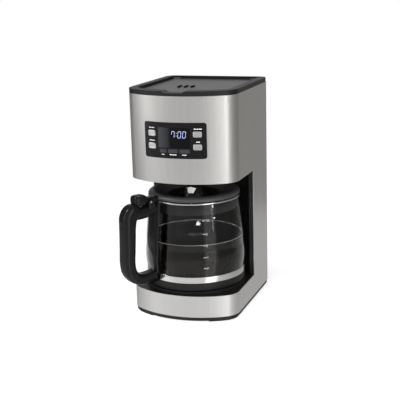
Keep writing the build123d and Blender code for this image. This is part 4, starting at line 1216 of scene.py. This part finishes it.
class COFFEE_OT_handle(bpy.types.Operator):
    """Makes the carafe's looped handle and the strut that lies against the glass"""

    bl_idname = "coffee.handle"
    bl_label = "Handle"

    def execute(self, context):
        self.grip()
        self.strut()
        return {"FINISHED"}

    def grip(self):
        """A rounded section swept along a smooth loop.

        The loop is a Catmull-Rom curve through stations of (radius, height, thickness, width). At
        each point the section lies across the loop, with its flat sides turned to the left and right.
        """
        stations = np.array(GRIP_STATIONS)
        before, after = 2 * stations[:1] - stations[1:2], 2 * stations[-1:] - stations[-2:-1]
        padded = np.concatenate([before, stations, after])
        t = np.linspace(0, 1, 10, endpoint=False)[:, None, None]
        p0, p1, p2, p3 = padded[:-3], padded[1:-2], padded[2:-1], padded[3:]
        curve = 0.5 * (2 * p1 + (p2 - p0) * t + (2 * p0 - 5 * p1 + 4 * p2 - p3) * t**2
                       + (3 * p1 - p0 - 3 * p2 + p3) * t**3)
        curve = np.concatenate([curve.transpose(1, 0, 2).reshape(-1, 4), stations[-1:]])
        ahead = np.gradient(curve[:, :2], axis=0)
        ahead /= np.linalg.norm(ahead, axis=1)[:, None]
        outward = np.stack([-ahead[:, 1], ahead[:, 0]], -1)
        section = grip_section()
        depth = curve[:, 2:3] / 2 * section[None, :, 0]
        across = curve[:, 3:4] / 2 * section[None, :, 1]
        out = curve[:, 0:1] + depth * outward[:, 0:1]
        rise = curve[:, 1:2] + depth * outward[:, 1:2]
        rings = in_handle_plane(out * MM, across * MM, rise * MM)
        piece = flipped(mesh_object("handle_grip", rings, stacked(rings), "black_gloss", "carafe"))
        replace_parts(piece, "carafe_handle")

    def strut(self):
        """Strap against the glass: bearing and height to a skin just outside the jug.

        Its far edge draws in from full width above to a narrow foot, along a smooth step.
        """
        low, high = float(BAND_HIGH[2]) + 0.4 * MM, float(extent("neck_ring")[0][2]) - 0.6 * MM
        heights = np.linspace(low, high, 60)
        step = np.clip((heights - STRUT_STEP_Z) / STRUT_STEP, 0, 1)
        step = step * step * (3 - 2 * step)
        near, far = math.radians(STRUT_NEAR), np.radians(STRUT_FOOT + (STRUT_FAR - STRUT_FOOT) * step)
        share = np.linspace(0, 1, 24)[None, :]
        angle = HANDLE_BEARING + near + (far[:, None] - near) * share
        profile = glass_profile(0, FLOOR_Z, MOUTH_Z, 80)
        radius = np.interp(heights, profile[:, 1], profile[:, 0])[:, None] + 0 * angle
        edge = np.sqrt(np.clip(1 - np.abs(2 * share - 1)**8, 0, 1))
        outer = around_carafe(radius + (0.5 + 2.9 * edge) * MM, angle, heights[:, None])
        inner = around_carafe(radius + 0.35 * MM, angle, heights[:, None])[:, ::-1]
        rings = np.concatenate([outer, inner], axis=1)
        flipped(mesh_object("handle_strut", rings, stacked(rings), "black_gloss", "carafe"))


# Degrees from the handle's bearing to the strut's right edge, its left edge above and that below
STRUT_NEAR, STRUT_FAR, STRUT_FOOT = 8.5, -14.6, 1.5
# Where the strut begins to widen, and over what height
STRUT_STEP_Z, STRUT_STEP = 90 * MM, 17 * MM
# Radius, height, thickness and width along the loop, from the neck round the grip to the band, in mm
GRIP_STATIONS = (
    (72.5, 164.8, 12.0, 22.0), (80.0, 164.2, 13.4, 23.0), (91.0, 162.2, 17.2, 23.0),
    (102.8, 161.6, 18.2, 23.5), (110.6, 164.2, 24.0, 24.0), (117.2, 157.4, 23.0, 24.5),
    (119.2, 144.0, 20.2, 25.0), (119.9, 128.0, 19.4, 25.0), (120.9, 108.0, 18.8, 25.0),
    (121.8, 90.0, 18.2, 25.0), (119.6, 75.5, 18.4, 24.5), (112.0, 65.2, 17.6, 24.0),
    (100.5, 60.4, 16.6, 23.0), (88.0, 60.2, 17.2, 23.0), (78.0, 61.4, 18.0, 23.0),
)


def grip_section(count=56):
    """Section of the grip: full and round behind, with flatter sides and a tight inner edge.

    x is |cos|^0.72 outside and |cos|^0.42 inside, y is |sin|^0.52 all round, each with its sign, and
    inside y narrows by up to a tenth towards the inner edge.
    """
    turn = np.linspace(0, 2 * math.pi, count, endpoint=False)
    cos, sin = np.cos(turn), np.sin(turn)
    x = np.sign(cos) * np.abs(cos)**np.where(cos > 0, 0.72, 0.42)
    y = np.sign(sin) * np.abs(sin)**0.52
    return np.stack([x, y * np.where(cos > 0, 1.0, 1.0 - 0.10 * np.abs(cos))], -1)


def register():
    for made in CLASSES:
        bpy.utils.register_class(made)
    bpy.types.Scene.coffee_maker = PointerProperty(type=CoffeeMakerSettings)


def unregister():
    del bpy.types.Scene.coffee_maker
    for made in reversed(CLASSES):
        bpy.utils.unregister_class(made)


class COFFEE_PT_tools(bpy.types.Panel):
    """Lists the coffee maker's steps in the sidebar"""

    bl_label = "Coffee Maker"
    bl_idname = "COFFEE_PT_tools"
    bl_space_type = "VIEW_3D"
    bl_region_type = "UI"
    bl_category = "Coffee"

    def draw(self, context):
        for step in STEPS:
            self.layout.operator(step.bl_idname)


STEPS = (COFFEE_OT_stage, COFFEE_OT_casing, COFFEE_OT_panel, COFFEE_OT_carafe, COFFEE_OT_lid,
         COFFEE_OT_handle)
CLASSES = (StageSettings, SteelSettings, CarafeSettings, PanelSettings, CoffeeMakerSettings,
           *STEPS, COFFEE_PT_tools)


def corners(bounds):
    return [[float(v) for v in corner] for corner in bounds]


def main():
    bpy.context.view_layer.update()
    register()
    for step in STEPS:
        group, action = step.bl_idname.split(".")
        getattr(getattr(bpy.ops, group), action)()
    bpy.context.view_layer.update()


if __name__ == "__main__":
    main()
